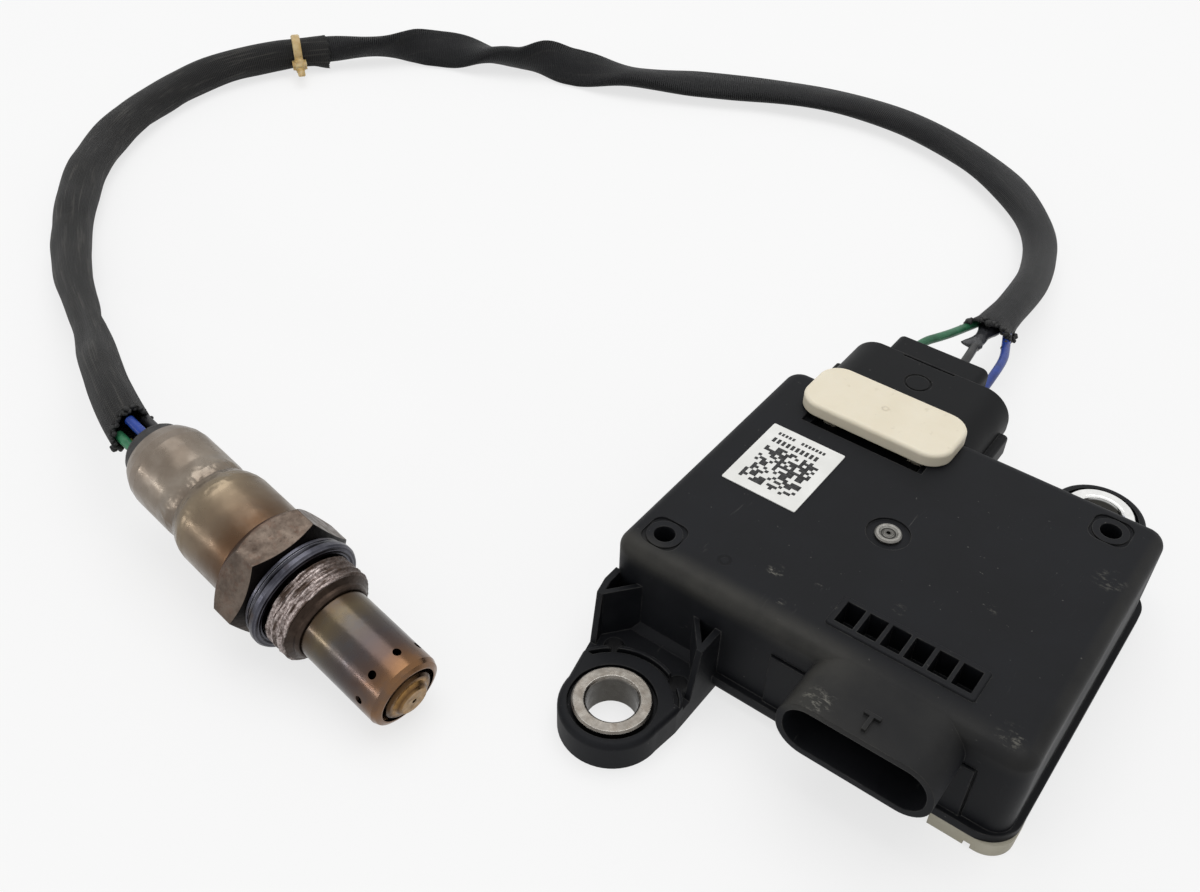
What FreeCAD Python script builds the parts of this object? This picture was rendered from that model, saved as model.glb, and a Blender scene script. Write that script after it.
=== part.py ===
import FreeCAD, Part
import math
import os
import re
import Sketcher
from FreeCAD import Placement, Rotation, Vector

# Exhaust particle sensor: a threaded probe, a sleeved harness and a control unit with its plug.
# Millimetres, +Z up. The origin is the centre of the front ear's bush, on the surface below it.
# +X runs along the unit's front edge, +Y towards its back edge.

SIZES = {
    # Control unit, outside
    "unit_left": 13.0, "unit_front": 16.8, "unit_length": 75.5, "unit_width": 61.3,
    "unit_top": 23.0, "corner_radius": 3.4, "edge_radius": 2.4, "wall": 2.2,
    "flange_low": 2.9, "flange_thick": 1.8, "flange_side": 1.1, "flange_front": 1.3,
    "flange_back": 3.0, "flange_corner": 6.0, "flange_ledge": 4.6, "skirt_thick": 1.5,
    "skirt_low": 0.8,
    # Mounting ears and their bushes
    "ear_radius": 9.2, "ear_height": 6.0, "ear_round": 1.1, "web_height": 4.6,
    "step_radius": 11.8, "relief_hole": 1.8, "relief_left": 7.4, "relief_right": 6.2,
    "relief_y": 10.6,
    "bush_outer": 6.9, "bush_bore": 4.5, "bush_height": 6.6, "bush_edge": 0.35,
    "bush_groove": 0.7, "groove_depth": 1.2, "arc_groove": 10.3, "arc_groove_wide": 0.9,
    "rear_ear_inset": 14.1, "rear_ear_gap": 16.3, "ear_side": 9.8, "ear_flare": 12.6,
    "flare_depth": 3.9, "rib_thick": 1.2, "rib_top": 15.2, "rib_reach": 5.7,
    "rib_slope": 2.4, "brace_span": 5.2, "brace_thick": 0.9, "web_chamfer": 1.4,
    # Vehicle shroud
    "shroud_inset": 23.0, "shroud_width": 26.6, "shroud_height": 11.4, "shroud_reach": 10.3,
    "shroud_corner": 5.2, "shroud_wall": 1.2, "shroud_depth": 13.0, "key_wide": 0.7,
    "key_rise": 0.5, "pin_count": 6, "pin_pitch": 3.3, "pin_thick": 0.8, "pin_reach": 7.5,
    "pin_bend": 5.0, "pad_left": 20.2, "pad_right": 15.4, "pad_high": 11.6, "pad_reach": 0.4,
    "seam_gap": 0.35,
    # Row of windows above the shroud
    "window_count": 6, "window_pitch": 4.05, "window_wide": 3.3, "window_long": 4.9,
    "window_front": 6.9, "window_deep": 4.6, "window_shift": 1.9, "window_rim": 1.1,
    "rim_height": 0.45, "sill_long": 2.0, "sill_high": 2.4,
    # Marks on the top face
    "well_inset_x": 6.4, "well_inset_y": 6.3, "well_rear_x": 8.6, "well_size": 7.0,
    "well_depth": 0.5, "well_hole": 1.9, "well_hole_depth": 7.0, "well_ridge": 1.3,
    "rivet_shift_x": 1.1, "rivet_shift_y": 0.4, "rivet_radius": 2.4, "rivet_recess": 3.9,
    "rivet_depth": 0.5, "rivet_rise": 0.3, "rivet_stem": 1.5, "rivet_ring": 1.45,
    "rivet_hub": 0.95, "rivet_eye": 0.4, "rivet_eye_depth": 1.2,
    "label_inset_x": 6.2, "label_inset_y": 18.2, "label_wide": 15.1, "label_long": 18.6,
    "label_thick": 0.15,
    # Sensor plug, its socket in the unit, and the slide lock
    "plug_inset": 21.9, "plug_width": 34.8, "plug_low": 9.4, "plug_drop": 0.1,
    "plug_length": 17.3, "plug_corner": 6.2, "nose_width": 27.0, "nose_low": 11.6,
    "nose_height": 8.6, "nose_length": 11.6, "nose_corner": 3.4, "socket_wall": 1.3,
    "socket_gap": 0.3, "ledge_reach": 1.7, "ledge_back": 2.0, "ledge_length": 11.5,
    "ledge_height": 5.0, "ledge_rise": 2.4, "cap_left": 10.6, "cap_right": 9.4,
    "cap_low": 11.4, "cap_drop": 0.9, "cap_length": 6.4, "cap_corner": 1.6,
    "ring_mark": 2.3, "mark_wide": 0.45, "mark_depth": 0.3, "mark_back": 10.4,
    "slit_left": 6.4, "slit_right": 4.8, "slit_back": 0.8, "slit_wide": 0.45,
    "pocket_wide": 25.0, "pocket_long": 13.8, "pocket_depth": 1.2, "pocket_step": 1.3,
    "slot_long": 7.8,
    "lock_width": 30.6, "lock_long": 14.0, "lock_thick": 2.7, "lock_corner": 4.6,
    "lock_edge": 0.8, "lock_over": 2.2, "lock_gap": 0.3, "leg_wide": 2.6, "leg_long": 3.2,
    "leg_deep": 6.0, "leg_offset": 9.0, "leg_back": 5.4, "seal_back": 2.6, "seal_long": 1.8,
    "seal_bite": 0.8, "contact_count": 5, "contact_pitch": 5.0, "contact_size": 1.2,
    "contact_length": 9.0, "tail_reach": 5.0, "tail_entry": 3.0,
    # Cover, seal and circuit board
    "cover_gap": 0.2, "foot_long": 12.6, "foot_deep": 8.4, "foot_round": 4.6,
    "notch_inset": 5.4, "notch_wide": 1.2, "notch_high": 1.0, "notch_deep": 0.8,
    "seal_inset": 1.9, "seal_wide": 1.4, "seal_high": 0.9, "post_radius": 2.0, "post_inset": 8.2,
    "board_low": 7.0, "board_thick": 1.6, "board_inset": 5.2, "chip_size": 10.0,
    "chip_high": 1.4, "coil_size": 7.0, "coil_high": 4.0, "can_radius": 3.2, "can_high": 6.5,
    # Probe: stations along its axis from the tip, and the steps from its tube's radius
    "tube_radius": 7.05, "tube_wall": 0.5, "tube_start": 1.5, "tube_round": 1.2,
    "rim_wide": 1.45, "hole_count": 8, "hole_radius": 0.75, "hole_station": 5.8,
    "tube_gap": 1.45, "inner_wall": 0.4, "cap_step": 0.4, "cap_face": 1.9, "cap_hole": 0.45,
    "boss_front": 20.6, "neck_wall": 0.85, "neck_length": 1.6, "thread_wall": 1.95,
    "thread_end": 27.0, "relief_depth": 0.9, "gasket_long": 3.4, "gasket_wide": 2.2,
    "gasket_edge": 0.6, "gasket_fold": 0.8, "gasket_back": 0.6, "hex_front": 31.0,
    "hex_long": 8.4, "hex_flats": 22.0, "hex_turn": 26.0, "hex_chamfer": 0.8,
    "hex_rear_chamfer": 1.15, "bore_inset": 0.55, "bore_step": 0.6, "bore_seat": 25.4,
    "tube_seat": 23.0, "collar_wall": 2.6, "collar_end": 49.6, "shell_wall": 0.6,
    "neck_pinch": 0.75, "rear_pinch": 0.6, "mouth_pinch": 2.6, "neck_station": 54.8,
    "shell_end": 70.6, "slip": 0.05, "ceramic_split": 33.0, "powder_end": 37.0,
    "ceramic_end": 47.0, "element_wide": 4.2, "element_thick": 1.6, "element_front": 5.0,
    "element_end": 54.0, "holder_end": 59.0, "clip_size": 1.0, "clip_long": 8.0,
    "grommet_end": 73.4, "grommet_step": 0.6, "wire_radius": 0.95, "wire_circle": 3.0,
    "wire_count": 5, "sleeve_start": 80.0, "mouth_gap": 0.8,
    "tip_x": -25.5, "tip_y": -20.5, "probe_heading": 175.0,
    # Harness
    "sleeve_radius": 4.5, "tie_wide": 2.6, "tie_thick": 1.1, "tie_head": 5.0, "tie_tail": 9.0,
    "shrink_radius": 1.5,
}

# The harness: points of its sleeves' route, from the probe to the tie and on to the plug.
FRONT_ROUTE = [
    (-121.0, -11.2, 20.3), (-142.5, 2.5, 13.5), (-167.5, 15.8, 7.4), (-191.5, 30.5, 4.9),
    (-211.0, 46.5, 4.7), (-226.0, 64.5, 4.8), (-236.0, 86.0, 4.7), (-240.5, 111.0, 4.9),
    (-234.5, 133.0, 5.7), (-223.0, 148.0, 5.7),
]
REAR_ROUTE = [
    (-223.0, 148.0, 5.7), (-210.8, 163.9, 5.7), (-190.5, 176.5, 4.6), (-167.0, 186.5, 4.7),
    (-142.0, 194.0, 4.6), (-119.0, 204.5, 4.7), (-96.0, 217.5, 4.6), (-70.0, 224.8, 4.7),
    (-43.0, 220.5, 4.6), (-19.0, 208.5, 4.7), (-2.5, 189.0, 4.9), (5.5, 165.5, 7.6),
    (9.0, 143.0, 12.0), (9.4, 121.5, 15.2),
]
# Each plug wire: its place on the plug's back face, points on the way, its place in the mouth.
MOUTH_SPREAD = 2.6
PLUG_WIRES = {
    "plug_wire_green": (-8.4, [(0.5, 6.0, 17.3), (3.8, 13.5, 16.6)], -MOUTH_SPREAD),
    "plug_wire_black": (2.6, [(11.2, 6.5, 17.4), (10.3, 13.0, 16.4)], 0.0),
    "plug_wire_blue": (9.1, [(17.6, 6.0, 17.2), (14.8, 14.0, 16.3)], MOUTH_SPREAD),
}
PLUG_WIRE_Z = 17.0
# The probe's wires in their order round its axis, and the angle of the first from the top.
PROBE_WIRES = ["probe_wire_green", "probe_wire_blue", "probe_wire_black_a",
               "probe_wire_black_b", "probe_wire_yellow"]
WIRE_ANGLE = -79.0
RING_ANGLE = 9.0
TIE_PLACE = 0.5
# Where a profile's points stand before its sizes are set.
ROUGH_START = Vector(10, 0, 0)
ROUGH_STEP = Vector(1, 5, 0)

doc = FreeCAD.newDocument("sensor")
sheet = doc.addObject("Spreadsheet::Sheet", "Sizes")
for row, (alias, number) in enumerate(SIZES.items(), start=1):
    sheet.set("A%d" % row, str(number))
    sheet.setAlias("A%d" % row, alias)
doc.recompute()
ALIAS = re.compile(r"\b(" + "|".join(sorted(SIZES, key=len, reverse=True)) + r")\b")
UP = Vector(0, 0, 1)
BACK = Vector(0, 1, 0)
nodes = {}


def val(alias):
    """The number that the sheet holds under this alias."""
    return float(sheet.get(alias))


def linked(rule):
    """A rule in which each alias points at its cell in the sheet."""
    return ALIAS.sub(r"Sizes.\1", str(rule))


def bind(obj, **rules):
    """Bind an object's properties to rules written with the sheet's aliases."""
    for prop, rule in rules.items():
        obj.setExpression(prop.replace("__", "."), linked(rule))
    return obj


def less(rule, *amounts):
    return "(" + "-".join([str(rule)] + ["(%s)" % amount for amount in amounts]) + ")"


def plus(rule, *amounts):
    return "(" + "+".join([str(rule)] + ["(%s)" % amount for amount in amounts]) + ")"


def box(name, low, size):
    """A block given by its lowest corner and its size, each a rule."""
    made = doc.addObject("Part::Box", name)
    bind(made, Placement__Base__x=low[0], Placement__Base__y=low[1], Placement__Base__z=low[2])
    return bind(made, Length=size[0], Width=size[1], Height=size[2])


def rod(name, foot, radius, height):
    """An upright cylinder given by the centre of its foot, its radius and its height."""
    made = doc.addObject("Part::Cylinder", name)
    bind(made, Placement__Base__x=foot[0], Placement__Base__y=foot[1], Placement__Base__z=foot[2])
    return bind(made, Radius=radius, Height=height)


def fuse(name, pieces):
    made = doc.addObject("Part::MultiFuse", name)
    made.Shapes = pieces
    return made


def common(name, pieces):
    made = doc.addObject("Part::MultiCommon", name)
    made.Shapes = pieces
    return made


def cut(name, base, tool):
    made = doc.addObject("Part::Cut", name)
    made.Base = base
    made.Tool = tool
    return made


def feature(name, shape):
    """A piece whose shape is worked out from the sheet's numbers."""
    made = doc.addObject("Part::Feature", name)
    made.Shape = shape
    return made


def along(edge, axis):
    """Whether an edge is straight and parallel to an axis."""
    if len(edge.Vertexes) < 2:
        return False
    run = edge.Vertexes[1].Point - edge.Vertexes[0].Point
    return abs(abs(run.dot(axis)) - run.Length) < 1e-6


def level_at(edge, height):
    """Whether an edge lies in the level plane of this height."""
    extent = edge.BoundBox
    return abs(extent.ZMin - height) < 1e-4 and abs(extent.ZMax - height) < 1e-4


def rounded(name, base, radius, chosen):
    """Round those edges of a base that the chooser accepts."""
    doc.recompute()
    made = doc.addObject("Part::Fillet", name)
    made.Base = base
    edges = base.Shape.Edges
    made.Edges = [(i + 1, radius, radius) for i, edge in enumerate(edges) if chosen(edge)]
    return made


def rounded_block(name, low, size, radius, axis):
    """A block with its four edges along one axis rounded."""
    return rounded(name, box(name + "_block", low, size), radius, lambda e: along(e, axis))


def centred_block(name, centre_x, front, low, size, radius):
    """A rounded block along Y, centred on a line of the unit."""
    return rounded_block(name, (less(centre_x, "(%s)/2" % size[0]), front, low), size, radius,
                         BACK)


def outline_block(name, inset, low, height, radius):
    """A level block that follows the unit's outline, set in by a rule."""
    corner = (plus(LEFT, inset), plus(FRONT, inset), low)
    size = (less("unit_length", inset, inset), less("unit_width", inset, inset), height)
    return rounded_block(name, corner, size, radius, UP)


def turned(name, profile):
    """A turned body from a closed profile of radius and height, each a rule."""
    body = doc.addObject("PartDesign::Body", name)
    plane = [f for f in body.Origin.OriginFeatures if f.Role == "XZ_Plane"][0]
    sketch = body.newObject("Sketcher::SketchObject", name + "_profile")
    sketch.AttachmentSupport = (plane, [""])
    sketch.MapMode = "FlatFace"
    number = len(profile)
    rough = [ROUGH_START + ROUGH_STEP * i for i in range(number)]
    for i in range(number):
        sketch.addGeometry(Part.LineSegment(rough[i], rough[(i + 1) % number]), False)
    for i in range(number):
        sketch.addConstraint(Sketcher.Constraint("Coincident", i, 2, (i + 1) % number, 1))
    for i, point in enumerate(profile):
        ways = (("X", point[0], rough[i].x, -2), ("Y", point[1], rough[i].y, -1))
        for way, rule, start, axis in ways:
            if rule == "0":
                sketch.addConstraint(Sketcher.Constraint("PointOnObject", i, 1, axis))
                continue
            held = Sketcher.Constraint("Distance" + way, -1, 1, i, 1, start)
            index = sketch.addConstraint(held)
            sketch.renameConstraint(index, "%s%d" % (way, i))
            sketch.setExpression("Constraints.%s%d" % (way, i), linked(rule))
    spin = body.newObject("PartDesign::Revolution", name + "_turn")
    spin.Profile = sketch
    spin.ReferenceAxis = (sketch, ["V_Axis"])
    spin.Angle = 360.0
    body.Tip = spin
    return body


# Places that several pieces share.
LEFT = "(-unit_left)"
RIGHT = "(unit_length-unit_left)"
FRONT = "unit_front"
REAR = "(unit_front+unit_width)"
FLANGE_TOP = "(flange_low+flange_thick)"
BOARD_TOP = "(board_low+board_thick)"
SHROUD_X = less(RIGHT, "shroud_inset")
SHROUD_MOUTH = less(FRONT, "shroud_reach")
SHROUD_LOW = "(unit_top-shroud_height)"
SHROUD_FLOOR = plus(SHROUD_MOUTH, "shroud_depth")
PLUG_X = plus(LEFT, "plug_inset")
PLUG_FRONT = plus(REAR, "socket_gap")
PLUG_BACK = plus(PLUG_FRONT, "plug_length")
NOSE_FRONT = less(REAR, "nose_length")
NOSE_TOP = "(nose_low+nose_height)"
SOCKET_FLOOR = less(NOSE_FRONT, "socket_gap")
SOCKET_LOW = "(nose_low-socket_gap)"
CONTACT_Z = "(nose_low+nose_height/2-contact_size/2)"
LOCK_LOW = "(unit_top+lock_gap)"
RIVET_X = "(unit_length/2-unit_left-rivet_shift_x)"
RIVET_Y = "(unit_front+unit_width/2-rivet_shift_y)"
PAD_TOP = plus(FLANGE_TOP, "pad_high")
# Radii and stations of the probe.
THREAD = "(tube_radius+thread_wall)"
NECK = "(tube_radius+neck_wall)"
RIM = "(tube_radius-rim_wide)"
INNER = "(tube_radius-tube_wall-tube_gap)"
CAP_STEP = less(INNER, "cap_step")
CAP_FACE = less(INNER, "cap_face")
BORE = "(tube_radius-bore_inset)"
COLLAR = plus(BORE, "collar_wall")
SHELL_NECK = less(COLLAR, "neck_pinch")
SHELL_REAR = less(COLLAR, "rear_pinch")
SHELL_MOUTH = less(COLLAR, "mouth_pinch")
GASKET = plus(THREAD, "gasket_wide")
GASKET_FRONT = "(hex_front-gasket_long)"


def pin_x(number):
    return less(SHROUD_X, "((pin_count-1)/2-%d)*pin_pitch" % number, "pin_thick/2")


def contact_x(number):
    return less(PLUG_X, "((contact_count-1)/2-%d)*contact_pitch" % number, "contact_size/2")


def ear_outline(gap):
    """The ear's outline at z 0: round in front and flaring to the unit's wall."""
    radius = val("ear_radius")
    root = gap + val("skirt_thick") * 0.6
    flare = gap - val("flare_depth") + val("skirt_thick")
    left = [Vector(-val("ear_flare"), root, 0), Vector(-val("ear_flare"), flare, 0)]
    left += [Vector(-radius, 0, 0)]
    right = [Vector(radius, 0, 0), Vector(val("ear_side"), flare / 3, 0)]
    right += [Vector(val("ear_side"), root, 0), left[0]]
    edges = [Part.LineSegment(a, b).toShape() for a, b in zip(left, left[1:])]
    edges += [Part.Arc(left[-1], Vector(0, -radius, 0), right[0]).toShape()]
    edges += [Part.LineSegment(a, b).toShape() for a, b in zip(right, right[1:])]
    return Part.Face(Part.Wire(edges)), left, right, root, flare


def ear_walls(gap, left, root, flare):
    """The ear's two side walls and their braces, cut to the slope of their front ends."""
    thick = val("rib_thick")
    foot = gap - val("rib_reach")
    toe = foot - val("rib_slope")
    share = toe / flare
    toe_x = left[2].x + (left[1].x - left[2].x) * share
    inward = Vector(thick, 0, 0)
    left_wall = [left[0], left[1], Vector(toe_x, toe, 0)]
    left_wall += [point + inward for point in reversed(left_wall)]
    side = val("ear_side")
    right_wall = [Vector(side, root, 0), Vector(side, toe, 0)]
    right_wall += [point - inward for point in reversed(right_wall)]
    footprints = [left_wall, right_wall]
    knee_x = left[2].x + (left[1].x - left[2].x) * foot / flare
    for corner_x, way in ((knee_x + thick * 0.4, 1), (side - thick * 0.4, -1)):
        start = Vector(corner_x, foot, 0)
        end = Vector(corner_x + way * val("brace_span"), root, 0)
        across = (end - start).cross(UP).normalize() * (val("brace_thick") / 2)
        footprints.append([start + across, end + across, end - across, start - across])
    slope = [Vector(0, root, 0), Vector(0, root, val("rib_top")), Vector(0, foot, val("rib_top"))]
    slope += [Vector(0, toe, val("web_height")), Vector(0, toe, 0)]
    span = val("ear_flare") + side
    prism = Part.Face(Part.makePolygon(slope + slope[:1])).extrude(Vector(span, 0, 0))
    prism.translate(Vector(-val("ear_flare"), 0, 0))
    walls = [Part.Face(Part.makePolygon(f + f[:1])).extrude(UP * val("rib_top"))
             for f in footprints]
    return [wall.common(prism) for wall in walls]


def ear(name, x, y, gap, turn):
    """One mounting ear, drawn for the unit's front wall at this gap and turned to its place."""
    face, left, right, root, flare = ear_outline(gap)
    height = val("ear_height")
    plate = face.extrude(UP * height)
    rim = [e for e in plate.Edges if level_at(e, height) and e.BoundBox.YMax < flare + 1e-3]
    plate = plate.makeFillet(val("ear_round"), rim)
    inside = Part.makeBox(left[1].distanceToPoint(Vector(val("ear_side"), flare, 0)), root, height,
                          Vector(-val("ear_flare"), 0, val("web_height")))
    web = inside.cut(Part.makeCylinder(val("step_radius"), 3 * height))
    low = val("web_height")
    rise = val("web_chamfer")
    chamfer = [Vector(0, gap, low), Vector(0, gap - rise, low), Vector(0, gap, low + rise)]
    strip = Part.Face(Part.makePolygon(chamfer + chamfer[:1]))
    strip = strip.extrude(Vector(val("ear_flare") + val("ear_side"), 0, 0))
    strip.translate(Vector(-val("ear_flare"), 0, 0))
    mass = plate.cut(web).multiFuse(ear_walls(gap, left, root, flare) + [strip])
    bush_way = Part.makeCylinder(val("bush_outer"), 2 * height, Vector(0, 0, -1))
    ring = Part.makeCylinder(val("bush_outer") + val("bush_groove"), height,
                             Vector(0, 0, height - val("groove_depth")))
    tools = [bush_way, ring]
    inner = val("arc_groove")
    arc = Part.makeCylinder(inner + val("arc_groove_wide"), height,
                            Vector(0, 0, height - val("groove_depth")))
    arc = arc.cut(Part.makeCylinder(inner, 3 * height))
    tools.append(arc.common(Part.makeBox(4 * inner, inner, 3 * height,
                                         Vector(-2 * inner, val("relief_y") * 0.55, 0))))
    for place_x in (-val("relief_left"), val("relief_right")):
        place = Vector(place_x, val("relief_y"), -1)
        tools.append(Part.makeCylinder(val("relief_hole"), 3 * height, place))
    made = feature(name, mass.cut(tools).removeSplitter())
    made.Placement = Placement(Vector(x, y, 0), Rotation(UP, turn))
    return made


def shroud_parts():
    """The vehicle shroud's block and the mouth that is cut into it."""
    length = "shroud_depth+wall"
    outer = centred_block("shroud_outer", SHROUD_X, SHROUD_MOUTH, SHROUD_LOW,
                          ("shroud_width", length, "shroud_height-0.25"), val("shroud_corner"))
    inner = centred_block("shroud_inner", SHROUD_X, less(SHROUD_MOUTH, "wall"),
                          plus(SHROUD_LOW, "shroud_wall"),
                          ("shroud_width-2*shroud_wall", "shroud_depth+wall",
                           "shroud_height-0.25-2*shroud_wall"),
                          val("shroud_corner") - val("shroud_wall"))
    return outer, inner


def front_pad():
    """The shallow pad round the shroud's root, and the grooves along its top and right edge."""
    wide = "pad_left+pad_right"
    pad = box("front_pad", (less(SHROUD_X, "pad_left"), less(FRONT, "pad_reach"), "flange_low"),
              (wide, "pad_reach+wall/2", less(PAD_TOP, "flange_low")))
    groove_front = less(FRONT, "2*pad_reach")
    deep = "2*pad_reach+seam_gap"
    side = box("seam", (plus(SHROUD_X, "pad_right"), groove_front, FLANGE_TOP),
               ("seam_gap", deep, "pad_high"))
    top = box("seam_top", (less(SHROUD_X, "pad_left"), groove_front, PAD_TOP),
              (plus(wide, "seam_gap"), deep, "seam_gap"))
    return pad, [side, top]


def key_mark():
    """A small plain coding rib with a cross bar on the shroud's top."""
    low = "unit_top-key_rise"
    stem = box("key_stem", (less(SHROUD_X, "key_wide/2"), plus(SHROUD_MOUTH, "2*key_wide"), low),
               ("key_wide", "5*key_wide", "2*key_rise-0.1"))
    bar = box("key_bar", (less(SHROUD_X, "2*key_wide"), plus(SHROUD_MOUTH, "6*key_wide"), low),
              ("4*key_wide", "key_wide", "2*key_rise-0.1"))
    return [stem, bar]


def window_parts():
    """The raised frame of the window row, its windows and their sills."""
    span = "((window_count-1)*window_pitch+window_wide)"
    left = less(SHROUD_X, "window_shift", span + "/2")
    front = plus(FRONT, "window_front")
    frame = rounded_block("window_frame", (less(left, "window_rim"), less(front, "window_rim"),
                                           "unit_top-window_deep-wall"),
                          (plus(span, "2*window_rim"), "window_long+2*window_rim",
                           "window_deep+wall+rim_height"), 0.6, UP)
    frame = rounded("window_frame_soft", frame, val("rim_height") * 0.8,
                    lambda e: level_at(e, val("unit_top") + val("rim_height")))
    windows = []
    sills = []
    for number in range(int(val("window_count"))):
        corner = (plus(left, "%d*window_pitch" % number), front, "unit_top-window_deep")
        windows.append(box("window_%d" % number, corner,
                           ("window_wide", "window_long", "window_deep+2*rim_height")))
        sills.append(box("sill_%d" % number, corner, ("window_wide", "sill_long", "sill_high")))
    return frame, windows, sills


def well_parts(name, x, y):
    """A corner well: a square recess round a ridge, its blind hole, and the boss below."""
    half = "(well_size/2)"
    floor_z = "unit_top-well_depth"
    recess = rounded_block(name + "_recess", (less(x, half), less(y, half), floor_z),
                           ("well_size", "well_size", "wall"), val("well_size") * 0.3, UP)
    ridge = rod(name + "_ridge", (x, y, floor_z), "well_hole+well_ridge", "well_depth*0.8")
    hole = rod(name + "_hole", (x, y, "unit_top-well_hole_depth"), "well_hole", "2*well_hole_depth")
    boss = rod(name + "_boss", (x, y, "unit_top-well_hole_depth-wall"), "well_hole+well_ridge",
               "well_hole_depth+wall/2")
    return [cut(name + "_dish", recess, ridge), hole], boss


def skirt():
    """The housing's low skirt round the cover, open at the cover's foot."""
    height = "flange_low-skirt_low"
    ring = cut("skirt_ring", outline_block("skirt_outer", "0", "skirt_low", height,
                                           val("corner_radius")),
               outline_block("skirt_inner", "skirt_thick", "skirt_low", height,
                             val("corner_radius") - val("skirt_thick")))
    return cut("skirt", ring, foot_block("skirt_opening", "cover_gap"))


def foot_block(name, gap):
    """The place of the cover's exposed foot at the right front corner, with a gap round it."""
    low = (less(RIGHT, "foot_long", "-flange_side", gap), less(FRONT, "flange_front", gap), "0")
    block = box(name + "_block", low, (plus("foot_long", gap, gap), plus("foot_deep", gap, gap),
                                       "flange_low"))
    right = val("unit_length") - val("unit_left")
    front = val("unit_front")
    return rounded(name, block, val("foot_round"), lambda e: along(e, UP)
                   and e.Vertexes[0].X > right and e.Vertexes[0].Y < front)


def seal_ring(name):
    outer = outline_block(name + "_outer", "seal_inset", "flange_low", "seal_high", 2.0)
    inner = outline_block(name + "_inner", "seal_inset+seal_wide", "flange_low", "seal_high", 0.8)
    return cut(name, outer, inner)


def rivet_dish():
    """The ring-shaped recess round the rivet's head."""
    dish = rod("rivet_dish", (RIVET_X, RIVET_Y, "unit_top-rivet_depth"), "rivet_recess", "wall")
    core = rod("rivet_core", (RIVET_X, RIVET_Y, BOARD_TOP), "rivet_stem", "2*unit_top")
    return [dish, core]


def lock_pocket():
    """The stepped recess under the lock, whose deep part opens into the plug's socket."""
    shallow = box("pocket", (less(PLUG_X, "pocket_wide/2"), less(REAR, "pocket_long"),
                             "unit_top-pocket_depth"),
                  ("pocket_wide", "pocket_long+wall", "2*pocket_depth"))
    deep = box("slot", (less(PLUG_X, "pocket_wide/2", "-pocket_step"),
                        less(REAR, "pocket_long", "-pocket_step"), NOSE_TOP),
               ("pocket_wide-2*pocket_step", "slot_long", "unit_top"))
    return [shallow, deep]


def unit_housing():
    """The moulded housing, open below, with both ears, the shroud and the plug's socket."""
    walls = rounded("walls_soft", outline_block("walls", "0", "flange_low",
                                                "unit_top-flange_low", val("corner_radius")),
                    val("edge_radius"), lambda e: level_at(e, val("unit_top")))
    flange = rounded_block("flange", (less(LEFT, "flange_side"), less(FRONT, "flange_front"),
                                      "flange_low"),
                           ("unit_length+2*flange_side", "unit_width+flange_front+flange_back",
                            "flange_thick"), val("flange_corner"), UP)
    cavity = outline_block("cavity", "wall", FLANGE_TOP, less("unit_top-wall", FLANGE_TOP),
                           val("corner_radius") - val("wall"))
    mouth = outline_block("cavity_mouth", "flange_ledge", "0", FLANGE_TOP, 1.0)
    hollow = cut("hollow_shell", fuse("outer_mass", [walls, flange]), fuse("hollow", [cavity, mouth]))
    shroud, shroud_mouth = shroud_parts()
    frame, windows, sills = window_parts()
    pad, pad_grooves = front_pad()
    front_well, front_boss = well_parts("front_well", plus(LEFT, "well_inset_x"),
                                        plus(FRONT, "well_inset_y"))
    rear_well, rear_boss = well_parts("rear_well", less(RIGHT, "well_rear_x"),
                                      less(REAR, "well_inset_y"))
    rear_x = val("unit_length") - val("unit_left") - val("rear_ear_inset")
    rear_y = val("unit_front") + val("unit_width") + val("rear_ear_gap")
    ears = [ear("front_ear", 0, 0, val("unit_front"), 0),
            ear("rear_ear", rear_x, rear_y, val("rear_ear_gap"), 180)]
    block_width = "nose_width+2*socket_gap+2*socket_wall"
    socket_block = centred_block("socket_block", PLUG_X, less(SOCKET_FLOOR, "socket_wall"),
                                 less(SOCKET_LOW, "socket_wall"),
                                 (block_width, "nose_length+socket_gap+socket_wall-wall/2",
                                  less("unit_top-wall/2", SOCKET_LOW, "-socket_wall")), 1.0)
    socket = centred_block("socket", PLUG_X, SOCKET_FLOOR, SOCKET_LOW,
                           ("nose_width+2*socket_gap", "nose_length+socket_gap+wall",
                            "nose_height+2*socket_gap"), val("nose_corner") + val("socket_gap"))
    post = rod("rivet_post", (RIVET_X, RIVET_Y, BOARD_TOP), "rivet_recess",
               less("unit_top-wall/2", BOARD_TOP))
    mass = fuse("mass", [hollow, skirt(), shroud, frame, pad, front_boss, rear_boss, socket_block,
                         post] + ears + key_mark())
    tools = [shroud_mouth, socket, seal_ring("seal_groove")] + windows + pad_grooves + front_well
    tools += rear_well + rivet_dish() + lock_pocket() + vehicle_bars("pin_way")
    tools += sensor_bars("tail_way")
    return fuse("unit_housing", [cut("opened", mass, fuse("openings", tools))] + sills)


def pin_low():
    return "(unit_top-shroud_height/2-pin_thick/2)"


def vehicle_bars(name):
    """The level and upright bars of the pins from the circuit board into the shroud."""
    bars = []
    start = plus(SHROUD_MOUTH, "pin_reach")
    elbow = plus(SHROUD_FLOOR, "pin_bend")
    for number in range(int(val("pin_count"))):
        bars.append(box("%s_level_%d" % (name, number), (pin_x(number), start, pin_low()),
                        ("pin_thick", plus(less(elbow, start), "pin_thick"), "pin_thick")))
        bars.append(box("%s_upright_%d" % (name, number), (pin_x(number), elbow, BOARD_TOP),
                        ("pin_thick", "pin_thick", less(pin_low(), BOARD_TOP))))
    return bars


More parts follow.
